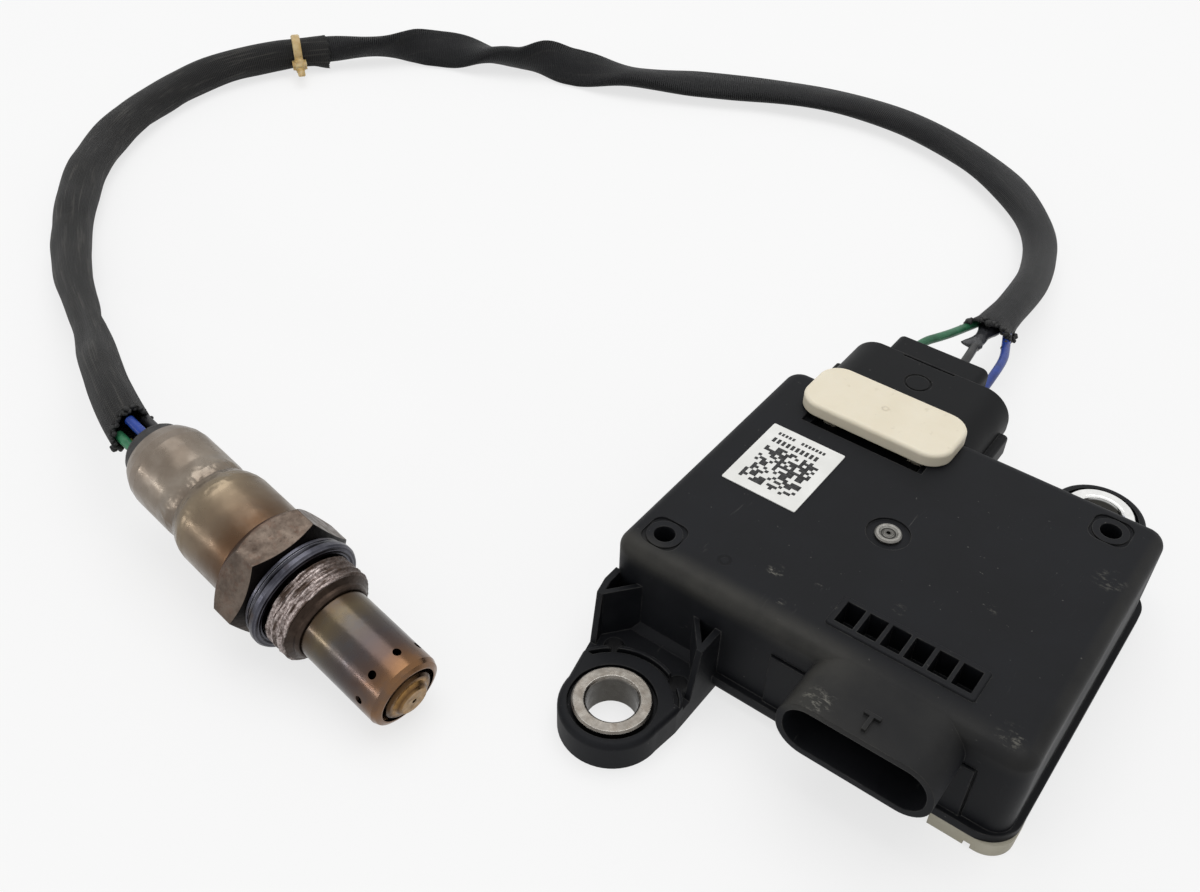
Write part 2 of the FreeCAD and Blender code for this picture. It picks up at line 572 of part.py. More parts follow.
def sensor_bars(name):
    """The bars of the pins from the circuit board back into the ways of the plug's nose."""
    bars = []
    start = less(SOCKET_FLOOR, "tail_reach")
    for number in range(int(val("contact_count"))):
        bars.append(box("%s_level_%d" % (name, number), (contact_x(number), start, CONTACT_Z),
                        ("contact_size", "tail_reach+socket_gap+tail_entry", "contact_size")))
        bars.append(box("%s_upright_%d" % (name, number), (contact_x(number), start, BOARD_TOP),
                        ("contact_size", "contact_size", less(CONTACT_Z, BOARD_TOP))))
    return bars


def base_cover():
    """The pale cover under the unit, with its exposed foot and the circuit board's posts."""
    plate = outline_block("cover_plate", "skirt_thick+cover_gap", "0", "flange_low", 1.6)
    posts = []
    for side, x in (("left", plus(LEFT, "post_inset")), ("right", less(RIGHT, "post_inset"))):
        for end, y in (("front", plus(FRONT, "post_inset")), ("rear", less(REAR, "post_inset"))):
            posts.append(rod("post_%s_%s" % (side, end), (x, y, "flange_low/2"), "post_radius",
                             "board_low-flange_low/2"))
    notch = box("foot_notch", (less(RIGHT, "notch_inset"), less(FRONT, "flange_front", "notch_deep"),
                               "-notch_high"),
                ("notch_wide", "2*notch_deep", "2*notch_high"))
    foot = cut("notched_foot", foot_block("cover_foot", "0"), notch)
    return fuse("base_cover", [plate, foot] + posts)


def board_pieces():
    """The circuit board and what stands on it, placed from the unit's middle."""
    middle_x = "(unit_length/2-unit_left)"
    middle_y = "(unit_front+unit_width/2)"
    nodes["circuit_board"] = outline_block("circuit_board", "board_inset", "board_low",
                                           "board_thick", 1.5)
    nodes["processor"] = box("processor", (less(middle_x, "2*chip_size"),
                                           less(middle_y, "chip_size"), BOARD_TOP),
                             ("chip_size", "chip_size", "chip_high"))
    nodes["power_inductor"] = box("power_inductor", (plus(middle_x, "2*coil_size"),
                                                     less(middle_y, "coil_size"), BOARD_TOP),
                                  ("coil_size", "coil_size", "coil_high"))
    cans = [rod("can_%d" % i, (less(RIGHT, "board_inset", "%d*can_radius" % (2 + 3 * i)),
                               plus(middle_y, "2*can_radius"), BOARD_TOP),
                "can_radius", "can_high") for i in range(2)]
    nodes["capacitors"] = fuse("capacitors", cans)


def nose_ring(name, grow, corner):
    """A block along the nose's seal seat, grown or shrunk from the nose's outline."""
    size = ("nose_width+2*(%s)" % grow, "seal_long", "nose_height+2*(%s)" % grow)
    return centred_block(name, PLUG_X, less(REAR, "seal_back", "seal_long"),
                         less("nose_low", grow), size, corner)


def plug_seal():
    gap = val("socket_gap") - val("slip")
    outer = nose_ring("plug_seal_outer", "socket_gap-slip", val("nose_corner") + gap)
    inner = nose_ring("plug_seal_inner", "-seal_bite", val("nose_corner") - val("seal_bite"))
    return cut("plug_seal", outer, inner)


def leg_block(name, way, gap):
    """One leg of the lock, or with a gap round it the way that it goes into."""
    x = less(plus(PLUG_X, "%d*leg_offset" % way), "leg_wide/2", gap)
    y = less(REAR, "leg_back", "leg_long", gap)
    return box(name, (x, y, less(LOCK_LOW, "leg_deep", gap)),
               (plus("leg_wide", gap, gap), plus("leg_long", gap, gap), "leg_deep+lock_thick/2"))


def plug_body():
    """The sensor plug: a round-shouldered body, its nose in the socket and two side ledges."""
    body = centred_block("plug_block", PLUG_X, PLUG_FRONT, "plug_low",
                         ("plug_width", "plug_length", "unit_top-plug_drop-plug_low"),
                         val("plug_corner"))
    nose = centred_block("nose_block", PLUG_X, NOSE_FRONT, "nose_low",
                         ("nose_width", "nose_length+2*wall", "nose_height"), val("nose_corner"))
    ledges = centred_block("plug_ledges", PLUG_X, plus(PLUG_FRONT, "ledge_back"),
                           "plug_low+ledge_rise", ("plug_width+2*ledge_reach", "ledge_length",
                                                   "ledge_height"), 0.8)
    tools = [leg_block("leg_way_%d" % way, way, "lock_gap") for way in (-1, 1)]
    for number in range(int(val("contact_count"))):
        tools.append(box("way_%d" % number, (less(contact_x(number), "slip"),
                                             less(NOSE_FRONT, "wall"), less(CONTACT_Z, "slip")),
                         ("contact_size+2*slip", "wall+tail_entry+contact_length+slip",
                          "contact_size+2*slip")))
    tools.append(cut("seal_seat", nose_ring("seat_outer", "wall", 1.0),
                     nose_ring("seat_inner", "-seal_bite",
                               val("nose_corner") - val("seal_bite"))))
    tools.append(box("slit", (less(PLUG_X, "slit_left"), less(PLUG_BACK, "slit_back"),
                              "unit_top-plug_drop-slit_wide"),
                     ("slit_left+slit_right", "slit_wide", "wall")))
    mark = (PLUG_X, plus(REAR, "mark_back"), "unit_top-plug_drop-mark_depth")
    tools.append(cut("mark", rod("mark_outer", mark, "ring_mark+mark_wide", "wall"),
                     rod("mark_inner", mark, "ring_mark", "wall")))
    return cut("plug_body", fuse("plug_mass", [body, nose, ledges]), fuse("plug_tools", tools))


def plug_contacts():
    """The contacts in the nose's ways, behind the ends of the unit's pins."""
    return fuse("plug_contacts", [box("contact_%d" % i, (contact_x(i), plus(NOSE_FRONT, "tail_entry"),
                                                        CONTACT_Z),
                                      ("contact_size", "contact_length", "contact_size"))
                                  for i in range(int(val("contact_count")))])


def plug_rear_cap():
    """The cap on the plug's back, where the wires come out."""
    return rounded_block("plug_rear_cap", (less(PLUG_X, "cap_left"), PLUG_BACK, "cap_low"),
                         ("cap_left+cap_right", "cap_length", "unit_top-cap_drop-cap_low"),
                         val("cap_corner"), BACK)


def plug_lock():
    """The cream slide lock: a rounded bar over the plug's joint and two legs into its nose."""
    bar = rounded_block("lock_bar", (less(PLUG_X, "lock_width/2"),
                                     less(REAR, "lock_long", "-lock_over"), LOCK_LOW),
                        ("lock_width", "lock_long", "lock_thick"), val("lock_corner"), UP)
    top = val("unit_top") + val("lock_gap") + val("lock_thick")
    bar = rounded("lock_soft", bar, val("lock_edge"), lambda e: level_at(e, top))
    return fuse("plug_lock", [bar] + [leg_block("lock_leg_%d" % way, way, "0") for way in (-1, 1)])


def tube_along(name, points, radius):
    """A tube on straight runs joined by tangent arcs as large as the runs allow."""
    edges = []
    radii = []
    last = points[0]
    for before, corner, after in zip(points, points[1:], points[2:]):
        first = corner - before
        second = after - corner
        turn = first.getAngle(second)
        setback = 0.45 * min(first.Length, second.Length)
        bend = setback / math.tan(turn / 2)
        radii.append(bend)
        start = corner - first.normalize() * setback
        end = corner + second.normalize() * setback
        inward = (start + end) * 0.5 - corner
        inward.normalize()
        middle = corner + inward * (bend / math.cos(turn / 2) - bend)
        edges.append(Part.LineSegment(last, start).toShape())
        edges.append(Part.Arc(start, middle, end).toShape())
        last = end
    edges.append(Part.LineSegment(last, points[-1]).toShape())
    path = Part.Wire(edges)
    ring = Part.Wire(Part.Circle(points[0], points[1] - points[0], radius).toShape())
    pipe = path.makePipeShell([ring], True, True)
    share = pipe.Volume / (math.pi * radius ** 2 * path.Length)
    print("%s: length %.1f, radii %s, volume over section times length %.4f"
          % (name, path.Length, " ".join("%.0f" % r for r in radii), share))
    return feature(name, pipe)


def plug_wires():
    """The three wires from the plug's back to the rear sleeve's mouth, one with a shrink piece."""
    centre = val("plug_inset") - val("unit_left")
    back = val("unit_front") + val("unit_width") + val("socket_gap")
    back += val("plug_length") + val("cap_length")
    mouth = Vector(*REAR_ROUTE[-1])
    mouth += (mouth - Vector(*REAR_ROUTE[-2])).normalize() * val("mouth_gap")
    for name, (offset, middle, aside) in PLUG_WIRES.items():
        points = [Vector(centre + offset, back, PLUG_WIRE_Z)]
        points += [Vector(x, back + beyond, z) for x, beyond, z in middle]
        points.append(mouth + Vector(aside, 0, 0))
        nodes[name] = tube_along(name, points, val("wire_radius"))
        if name == "plug_wire_black":
            nodes["shrink_tube"] = feature("shrink_tube", shrink_piece(points[-2], points[-1]))


def shrink_piece(before, end):
    """The shrink piece on the straight end of the black wire, up to the sleeve's mouth."""
    start = before + (end - before) * 0.46
    heading = (end - start).normalize()
    length = (end - start).Length
    piece = Part.makeCylinder(val("shrink_radius"), length, start, heading)
    return piece.cut(Part.makeCylinder(val("wire_radius"), 3 * length, start - heading * length,
                                       heading))


def cable_tie(before, after):
    """The tie where the two sleeves meet: its band, its head and the cut tail."""
    heading = (after - before).normalize()
    middle = before + (after - before) * TIE_PLACE
    inner = val("sleeve_radius")
    outer = inner + val("tie_thick")
    wide = val("tie_wide")
    band = Part.makeCylinder(outer, wide, middle - heading * (wide / 2), heading)
    band = band.cut(Part.makeCylinder(inner, 3 * wide, middle - heading * (1.5 * wide), heading))
    size = val("tie_head")
    head = Part.makeBox(size, wide * 1.6, size * 0.8, Vector(inner + 0.2, -wide * 0.8, -size * 0.6))
    tail = Part.makeBox(val("tie_tail"), wide, val("tie_thick"), Vector(outer - 0.8, -wide / 2, 0))
    both = head.fuse(tail)
    across = heading.cross(UP).normalize()
    upright = across.cross(heading).normalize()
    both.Placement = Placement(middle, Rotation(across, heading, upright, "YXZ"))
    return feature("cable_tie", band.fuse(both).removeSplitter())


def probe_frame():
    """Where the probe lies: on its gasket ring and on the front edge of its tube."""
    start = val("tube_start") + val("tube_round")
    rest = val("hex_front") - val("gasket_long") + val("gasket_edge")
    slope = math.atan((val("thread_wall") + val("gasket_wide")) / (rest - start))
    heading = math.radians(val("probe_heading"))
    height = val("tube_radius") * math.cos(slope) - start * math.sin(slope)
    axis = Vector(math.cos(heading) * math.cos(slope), math.sin(heading) * math.cos(slope),
                  math.sin(slope))
    sideways = UP.cross(axis).normalize()
    upward = axis.cross(sideways).normalize()
    turn = Rotation(upward, axis.cross(upward), axis, "ZXY")
    return Placement(Vector(val("tip_x"), val("tip_y"), height), turn)


def around(angle, radius):
    """The place at an angle round the probe's axis, counted from its top, as two rules."""
    turn = math.radians(angle)
    return "(%s)*%.6f" % (radius, math.cos(turn)), "(%s)*%.6f" % (radius, math.sin(turn))


def wire_place(number):
    return around(WIRE_ANGLE + 360.0 / val("wire_count") * number, "wire_circle")


def wire_rod(name, number):
    """One wire at the probe, from the contact holder through the grommet to the sleeve."""
    x, y = wire_place(number)
    return rod(name, (x, y, "holder_end"), "wire_radius",
               "sleeve_start-holder_end-mouth_gap")


def clip(name, number):
    """A contact clip beside the sensing element, up to a wire's end."""
    x, y = wire_place(number)
    return box(name, (less(x, "clip_size/2"), less(y, "clip_size/2"), "holder_end-clip_long"),
               ("clip_size", "clip_size", "clip_long"))


def element_block(name):
    return box(name, ("-element_wide/2", "-element_thick/2", "element_front"),
               ("element_wide", "element_thick", "element_end-element_front"))


def outer_tube():
    """The outer protection tube with the ring of small holes near its tip."""
    tube = turned("tube_turned", [
        (RIM, "tube_start"), ("tube_radius-tube_round", "tube_start"),
        ("tube_radius-0.3*tube_round", "tube_start+0.3*tube_round"),
        ("tube_radius", "tube_start+tube_round"), ("tube_radius", "tube_seat"),
        ("tube_radius-tube_wall", "tube_seat"),
        ("tube_radius-tube_wall", "tube_start+tube_round"),
        ("tube_radius-0.3*tube_round-tube_wall", "tube_start+0.3*tube_round+tube_wall"),
        (RIM, "tube_start+tube_wall")])
    ways = []
    for number in range(int(val("hole_count"))):
        way = Part.makeCylinder(val("hole_radius"), 2 * val("tube_radius"), Vector(0, 0, 0),
                                Vector(1, 0, 0))
        way.rotate(Vector(0, 0, 0), UP, 360.0 / val("hole_count") * number + RING_ANGLE)
        way.translate(Vector(0, 0, val("hole_station")))
        ways.append(way)
    return cut("outer_tube", tube, feature("ring_drills", Part.makeCompound(ways)))


def inner_tube():
    """The inner tube with its stepped cap, held by a flange in the hexagon body's bore."""
    flange = less(BORE, "bore_step", "slip")
    inside = less(INNER, "inner_wall")
    return turned("inner_tube", [
        ("cap_hole", "0"), (less(CAP_FACE, "0.5"), "0"), (CAP_FACE, "0.4"),
        (plus(CAP_FACE, "0.4"), "1.0"), (less(CAP_STEP, "0.3"), "1.1"),
        (plus(CAP_STEP, "0.1"), "1.5"), (INNER, "2.6"), (INNER, "tube_seat+slip"),
        (flange, "tube_seat+slip"), (flange, "bore_seat"), (inside, "bore_seat"),
        (inside, "2.8"), (less(CAP_STEP, "0.3"), "1.9"), ("cap_hole", "1.2")])


def hex_body():
    """The hexagon with its threaded boss, rear collar and stepped bore."""
    relief = less(THREAD, "relief_depth")
    fit = plus(BORE, "slip")
    lip = less(BORE, "bore_step")
    blank = turned("hex_turned", [
        ("tube_radius+slip", "boss_front"), (less(NECK, "0.4"), "boss_front"),
        (NECK, "boss_front+0.3*neck_length"), (NECK, "boss_front+0.6*neck_length"),
        (THREAD, "boss_front+neck_length"), (THREAD, "thread_end"),
        (relief, "thread_end+relief_depth"), (relief, "hex_front+0.5"),
        (COLLAR, "hex_front+0.5"), (COLLAR, "collar_end"), (fit, "collar_end"),
        (fit, "bore_seat"), (lip, "bore_seat"), (lip, "tube_seat"),
        ("tube_radius+slip", "tube_seat")])
    prism = doc.addObject("Part::Prism", "hex_prism")
    prism.Polygon = 6
    prism.Placement = Placement(Vector(0, 0, 0), Rotation(UP, val("hex_turn")))
    bind(prism, Circumradius="hex_flats/sqrt(3)", Height="hex_long", Placement__Base__z="hex_front")
    front = "(hex_flats/2-hex_chamfer)"
    rear = "(hex_flats/2-hex_rear_chamfer)"
    cones = []
    for name, low, high in (("hex_front_cone", front, plus(front, "1.7*hex_long")),
                            ("hex_rear_cone", plus(rear, "1.1*hex_long"), rear)):
        cone = doc.addObject("Part::Cone", name)
        cones.append(bind(cone, Radius1=low, Radius2=high, Height="hex_long",
                          Placement__Base__z="hex_front"))
    bore = rod("hex_bore", ("0", "0", "0"), fit, "2*hex_front+hex_long")
    return fuse("hex_body", [blank, cut("hexagon", common("hex_soft", [prism] + cones), bore)])


def gasket_ring():
    """The folded gasket ring between the hexagon and the exhaust."""
    fit = plus(THREAD, "slip")
    back = less(GASKET, "gasket_back")
    return turned("gasket_ring", [
        (fit, plus(GASKET_FRONT, "0.5*gasket_edge")),
        (less(GASKET, "1.5*gasket_edge"), GASKET_FRONT),
        (less(GASKET, "0.4*gasket_edge"), plus(GASKET_FRONT, "0.3*gasket_edge")),
        (GASKET, plus(GASKET_FRONT, "gasket_edge")),
        (GASKET, plus(GASKET_FRONT, "0.4*gasket_long")),
        (less(GASKET, "0.35"), "hex_front-0.35*gasket_long"),
        (less(GASKET, "gasket_fold"), "hex_front-0.25*gasket_long"),
        (back, "hex_front-0.19*gasket_long"), (back, "hex_front-0.05*gasket_long"),
        (less(back, "0.15"), "hex_front"), (fit, "hex_front")])


def rear_shell():
    """The thin steel shell from the hexagon to the grommet, narrowed at its neck."""
    fit = plus(COLLAR, "slip")
    full = plus(fit, "shell_wall")
    rear_inside = less(SHELL_REAR, "shell_wall")
    neck_inside = less(SHELL_NECK, "shell_wall")
    return turned("rear_shell", [
        (fit, "hex_front+hex_long"), (full, "hex_front+hex_long"),
        (full, "neck_station-4.4"), (less(full, "0.2"), "neck_station-3.1"),
        (less(full, "0.65"), "neck_station-1.7"), (plus(SHELL_NECK, "0.35"), "neck_station-0.9"),
        (SHELL_NECK, "neck_station"), (SHELL_NECK, "neck_station+0.6"),
        (SHELL_REAR, "neck_station+1.8"), (SHELL_REAR, "shell_end-4.4"),
        (less(SHELL_REAR, "0.3"), "shell_end-2.6"), (less(SHELL_REAR, "0.9"), "shell_end-1.1"),
        (plus(SHELL_MOUTH, "0.6"), "shell_end-0.1"), (SHELL_MOUTH, "shell_end"),
        (SHELL_MOUTH, "shell_end-shell_wall"), (less(rear_inside, "0.9"), "shell_end-1.8"),
        (rear_inside, "shell_end-4.4"), (rear_inside, "neck_station+1.8"),
        (neck_inside, "neck_station+0.6"), (neck_inside, "neck_station-0.4"),
        (fit, "neck_station-3.6")])


def ceramic(name, low, high):
    """A round ceramic piece in the bore, with the slot of the sensing element."""
    blank = turned(name + "_blank", [("0", low), (BORE, low), (BORE, high), ("0", high)])
    return cut(name, blank, element_block(name + "_slot"))


def contact_holder():
    """The ceramic holder of the contact clips, behind the upper insulator."""
    outside = less(BORE, "2*slip")
    blank = turned("holder_blank", [("0", "ceramic_end"), (outside, "ceramic_end"),
                                    (outside, "holder_end"), ("0", "holder_end")])
    clips = [clip("clip_way_%d" % i, i) for i in range(int(val("wire_count")))]
    return cut("contact_holder", blank, fuse("holder_ways", [element_block("holder_slot")] + clips))


def cable_grommet():
    """The rubber grommet that closes the shell, with a hole for each wire."""
    inside = less(SHELL_REAR, "shell_wall", "slip")
    mouth = less(SHELL_MOUTH, "slip")
    tail = less(SHELL_MOUTH, "grommet_step")
    blank = turned("grommet_blank", [
        ("0", "holder_end"), (inside, "holder_end"), (inside, "shell_end-4.4"),
        (less(inside, "0.9"), "shell_end-1.9"), (mouth, "shell_end-shell_wall-0.1"),
        (mouth, "shell_end+0.2"), (plus(tail, "0.2"), "shell_end+0.9"),
        (tail, "grommet_end-0.7"), (less(tail, "0.5"), "grommet_end"),
        ("0", "grommet_end")])
    ways = [wire_rod("wire_way_%d" % i, i) for i in range(int(val("wire_count")))]
    return cut("cable_grommet", blank, fuse("wire_ways", ways))


def probe_pieces():
    """Every piece of the probe, upright on its own axis."""
    made = {"outer_tube": outer_tube(), "inner_tube": inner_tube(), "hex_body": hex_body(),
            "gasket_ring": gasket_ring(), "rear_shell": rear_shell(),
            "lower_insulator": ceramic("lower_insulator", "bore_seat", "ceramic_split"),
            "powder_ring": ceramic("powder_ring", "ceramic_split", "powder_end"),
            "upper_insulator": ceramic("upper_insulator", "powder_end", "ceramic_end"),
            "sensing_element": element_block("sensing_element"),
            "contact_holder": contact_holder(), "cable_grommet": cable_grommet()}
    wires = range(int(val("wire_count")))
    made["contact_clips"] = fuse("contact_clips", [clip("clip_%d" % i, i) for i in wires])
    for number in wires:
        name = PROBE_WIRES[number % len(PROBE_WIRES)]
        made[name] = wire_rod(name, number)
    return made


def lay_down(pieces, frame):
    """Move finished pieces from the upright axis to where the probe lies."""
    doc.recompute()
    for piece in pieces:
        upright = piece.Placement
        for way in "xyz":
            piece.setExpression("Placement.Base." + way, None)
        piece.Placement = frame.multiply(upright)


def bush(name, x, y):
    """A steel bush in an ear, with softened rims."""
    made = turned(name, [
        ("bush_bore", "0"), ("bush_outer-bush_edge", "0"),
        ("bush_outer", "bush_edge"), ("bush_outer", "bush_height-bush_edge"),
        ("bush_outer-bush_edge", "bush_height"), ("bush_bore+bush_edge", "bush_height"),
        ("bush_bore", "bush_height-bush_edge")])
    return bind(made, Placement__Base__x=x, Placement__Base__y=y)


def centre_rivet():
    """The rivet in the middle of the top face, whose stem fills the housing's post."""
    made = turned("centre_rivet", [
        ("0", BOARD_TOP), ("rivet_stem", BOARD_TOP), ("rivet_stem", "unit_top-rivet_depth"),
        ("rivet_radius", "unit_top-rivet_depth"), ("rivet_radius", "unit_top"),
        ("rivet_radius-0.3", "unit_top+rivet_rise"), ("rivet_ring+0.25", "unit_top+rivet_rise"),
        ("rivet_ring", "unit_top"), ("rivet_hub", "unit_top"),
        ("rivet_hub-0.15", "unit_top+0.6*rivet_rise"), ("rivet_eye", "unit_top+0.6*rivet_rise"),
        ("rivet_eye", "unit_top-rivet_eye_depth"), ("0", "unit_top-rivet_eye_depth")])
    return bind(made, Placement__Base__x=RIVET_X, Placement__Base__y=RIVET_Y)


def unit_label():
    corner = (plus(LEFT, "label_inset_x"), less(REAR, "label_inset_y", "label_long"), "unit_top")
    return rounded_block("unit_label", corner, ("label_wide", "label_long", "label_thick"), 0.3, UP)


nodes["unit_housing"] = unit_housing()
nodes["base_cover"] = base_cover()
nodes["cover_seal"] = seal_ring("cover_seal")
nodes["front_bush"] = bush("front_bush", "0", "0")
nodes["rear_bush"] = bush("rear_bush", less(RIGHT, "rear_ear_inset"), plus(REAR, "rear_ear_gap"))
nodes["centre_rivet"] = centre_rivet()
nodes["unit_label"] = unit_label()
board_pieces()
nodes["vehicle_pins"] = fuse("vehicle_pins", vehicle_bars("pin"))
nodes["sensor_pins"] = fuse("sensor_pins", sensor_bars("tail"))
nodes["plug_body"] = plug_body()
nodes["plug_seal"] = plug_seal()
nodes["plug_contacts"] = plug_contacts()
nodes["plug_rear_cap"] = plug_rear_cap()
nodes["plug_lock"] = plug_lock()
plug_wires()
probe = probe_frame()
probe_nodes = probe_pieces()
lay_down(probe_nodes.values(), probe)
nodes.update(probe_nodes)
front_points = [probe.multVec(Vector(0, 0, val("sleeve_start")))]
front_points += [Vector(*point) for point in FRONT_ROUTE]
nodes["sleeve_front"] = tube_along("sleeve_front", front_points, val("sleeve_radius"))
nodes["sleeve_rear"] = tube_along("sleeve_rear", [Vector(*point) for point in REAR_ROUTE],
                                  val("sleeve_radius"))
nodes["cable_tie"] = cable_tie(front_points[-2], front_points[-1])

doc.recompute()
for obj in doc.Objects:
    if "Invalid" in obj.State or "Error" in obj.State:
        raise RuntimeError("%s could not be made: %s" % (obj.Name, obj.State))
for name, node in nodes.items():
    node.Label = name
    if node.Shape.isNull() or not node.Shape.isValid():
        raise RuntimeError("%s has no valid shape" % name)
os.makedirs("parts", exist_ok=True)
for name, node in nodes.items():
    node.Shape.exportStep("parts/%s.step" % name)
print("%d nodes" % len(nodes))
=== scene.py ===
import math
import random

import bmesh
import bpy
from mathutils import Matrix, Vector, noise


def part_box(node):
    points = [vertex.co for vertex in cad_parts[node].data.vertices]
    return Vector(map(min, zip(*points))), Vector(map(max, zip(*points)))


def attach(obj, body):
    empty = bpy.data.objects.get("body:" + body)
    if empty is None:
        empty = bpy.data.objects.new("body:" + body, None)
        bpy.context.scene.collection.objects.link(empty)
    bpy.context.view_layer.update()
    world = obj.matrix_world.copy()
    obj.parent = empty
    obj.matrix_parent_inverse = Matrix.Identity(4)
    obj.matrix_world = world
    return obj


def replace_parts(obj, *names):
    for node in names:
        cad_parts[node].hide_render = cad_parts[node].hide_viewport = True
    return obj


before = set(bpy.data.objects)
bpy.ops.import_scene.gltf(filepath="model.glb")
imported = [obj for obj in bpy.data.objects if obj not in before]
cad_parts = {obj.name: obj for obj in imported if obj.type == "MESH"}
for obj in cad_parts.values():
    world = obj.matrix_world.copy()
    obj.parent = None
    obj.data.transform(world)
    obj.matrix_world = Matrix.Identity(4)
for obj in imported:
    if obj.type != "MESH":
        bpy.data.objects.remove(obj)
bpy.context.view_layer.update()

# Metres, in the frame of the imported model: the origin is the front ear's bush, +Z is up.
MM = 0.001
UP = Vector((0, 0, 1))

# The camera of the photograph: its place, its line of sight, its roll and its focal length
# for an image 1200 pixels wide.
CAMERA_PLACE = Vector((71.26, -104.06, 174.18)) * MM
CAMERA_LINE = Vector((-0.43902, 0.60642, -0.66296))
CAMERA_ROLL = math.radians(1.722)
IMAGE_WIDTH = 1200
FOCAL_PIXELS = 1236.8
SENSOR_WIDTH = 36.0

# The probe: the tip's place, the heading and slope of its axis, and stations along the axis.
PROBE_TIP = Vector((-25.5, -20.5, 6.5247)) * MM
PROBE_AXIS = Vector((-0.983259, 0.086024, 0.160632))
THREAD_RADIUS = 9.0 * MM
THREAD_START = 22.2 * MM
THREAD_END = 27.0 * MM
THREAD_PITCH = 1.5 * MM

# The harness, as routed in the model: the probe's end, the tie, and the plug's end.
SLEEVE_START = (-104.16, -13.62, 19.38)
FRONT_ROUTE = [
    SLEEVE_START, (-118.0, -9.0, 20.3), (-141.2, 3.5, 13.5), (-167.5, 15.8, 7.4),
    (-191.5, 30.5, 4.9), (-211.0, 46.5, 4.7), (-226.0, 64.5, 4.8), (-236.0, 86.0, 4.7),
    (-240.5, 111.0, 4.9), (-234.5, 133.0, 5.7), (-223.0, 148.0, 5.7),
]
REAR_ROUTE = [
    (-223.0, 148.0, 5.7), (-210.8, 163.9, 5.7), (-190.5, 176.5, 4.6), (-167.0, 186.5, 4.7),
    (-142.0, 194.0, 4.6), (-119.0, 204.5, 4.7), (-96.0, 217.5, 4.6), (-70.0, 224.8, 4.7),
    (-43.0, 220.5, 4.6), (-19.0, 208.5, 4.7), (-1.5, 189.7, 4.9), (6.5, 166.2, 7.6),
    (9.3, 144.5, 11.8), (9.9, 124.3, 14.9),
]
# Pale scuffs on the unit, each with its place, size and strength, and a round moulding mark.
SCUFFS = [((12.9, 27.5, 23.0), 1.9, 0.8), ((20.5, 29.0, 23.0), 1.3, 0.4),
          ((17.0, 22.0, 23.0), 1.2, 0.35), ((24.5, 26.0, 23.0), 1.0, 0.4),
          ((33.0, 32.5, 23.0), 1.6, 0.3), ((58.0, 60.0, 23.0), 3.5, 0.3),
          ((57.5, 20.5, 22.6), 3.0, 0.45), ((31.5, 8.8, 22.2), 3.4, 0.7),
          ((45.0, 42.0, 23.0), 1.5, 0.3)]
MOULD_MARK = (4.9, 24.2, 23.0)
SLEEVE_RADIUS = 4.5 * MM
SLEEVE_WALL = 0.6 * MM
MOUTH_DEPTH = 16.0 * MM
MOUTH_RINGS = 5
LEAN_REACH = 15.0 * MM
# The sleeves' half sizes along their lines: distance, half width, half height, and for the
# flattened rear sleeve the turn of its broad side in degrees.
FRONT_STATIONS = [(0, 4.4, 4.4), (20, 4.0, 4.0), (50, 3.5, 3.5), (90, 4.6, 4.5), (127, 5.2, 4.6),
                  (180, 4.9, 4.5), (222, 4.7, 4.5), (229, 4.3, 4.3), (239, 4.8, 4.5)]
REAR_STATIONS = [(0, 3.9, 3.9, -318), (14, 4.9, 2.7, -318), (37, 5.8, 2.4, -228),
                 (60, 5.8, 2.8, -138), (80, 5.8, 2.4, -48), (101, 5.6, 2.6, 11), (121, 5.6, 2.6, -10),
                 (155, 5.6, 2.6, 0), (200, 4.9, 3.2, 0), (225, 5.3, 3.0, 0), (255, 4.2, 3.6, 0),
                 (285, 4.0, 3.7, 0), (305, 3.7, 3.7, 0), (316, 4.3, 3.4, 0), (322, 6.0, 3.0, 0)]
CREASE_PLACE = 50 * MM
CREASE_LONG = 6 * MM
FLOOR_GAP = 0.15 * MM
PLUG_WIRES = {
    "green": [(0.5, 102.1, 17.0), (0.5, 108.1, 17.3), (3.8, 115.6, 16.6), (5.0, 121.5, 15.4),
              (6.4, 127.0, 14.6)],
    "black": [(11.5, 102.1, 17.0), (11.2, 108.6, 17.4), (10.3, 115.1, 16.4), (9.4, 121.5, 15.2),
              (9.4, 127.0, 14.4)],
    "blue": [(18.0, 102.1, 17.0), (17.8, 108.1, 17.2), (17.0, 115.6, 16.3), (15.2, 121.5, 15.2),
             (13.0, 128.0, 14.2)],
}
WIRE_RADIUS = 0.95 * MM
TIE_PLACE = Vector((-228.75, 140.5, 5.7)) * MM
TIE_HEADING = Vector((11.5, 15.0, 0.0)).normalized()
TIE_WIDE = 2.6 * MM

# How much of the floor shows at full white; the rest keeps the object's shadow.
FLOOR_SHOWN = 0.72

random.seed(4)


def srgb(red, green, blue, alpha=1.0):
    """A colour given as an image shows it, from 0 to 255, as the shader's linear numbers."""
    linear = []
    for value in (red, green, blue):
        share = value / 255
        linear.append(share / 12.92 if share < 0.04045 else ((share + 0.055) / 1.055) ** 2.4)
    return (*linear, alpha)


def grey(value):
    return (value, value, value, 1.0)


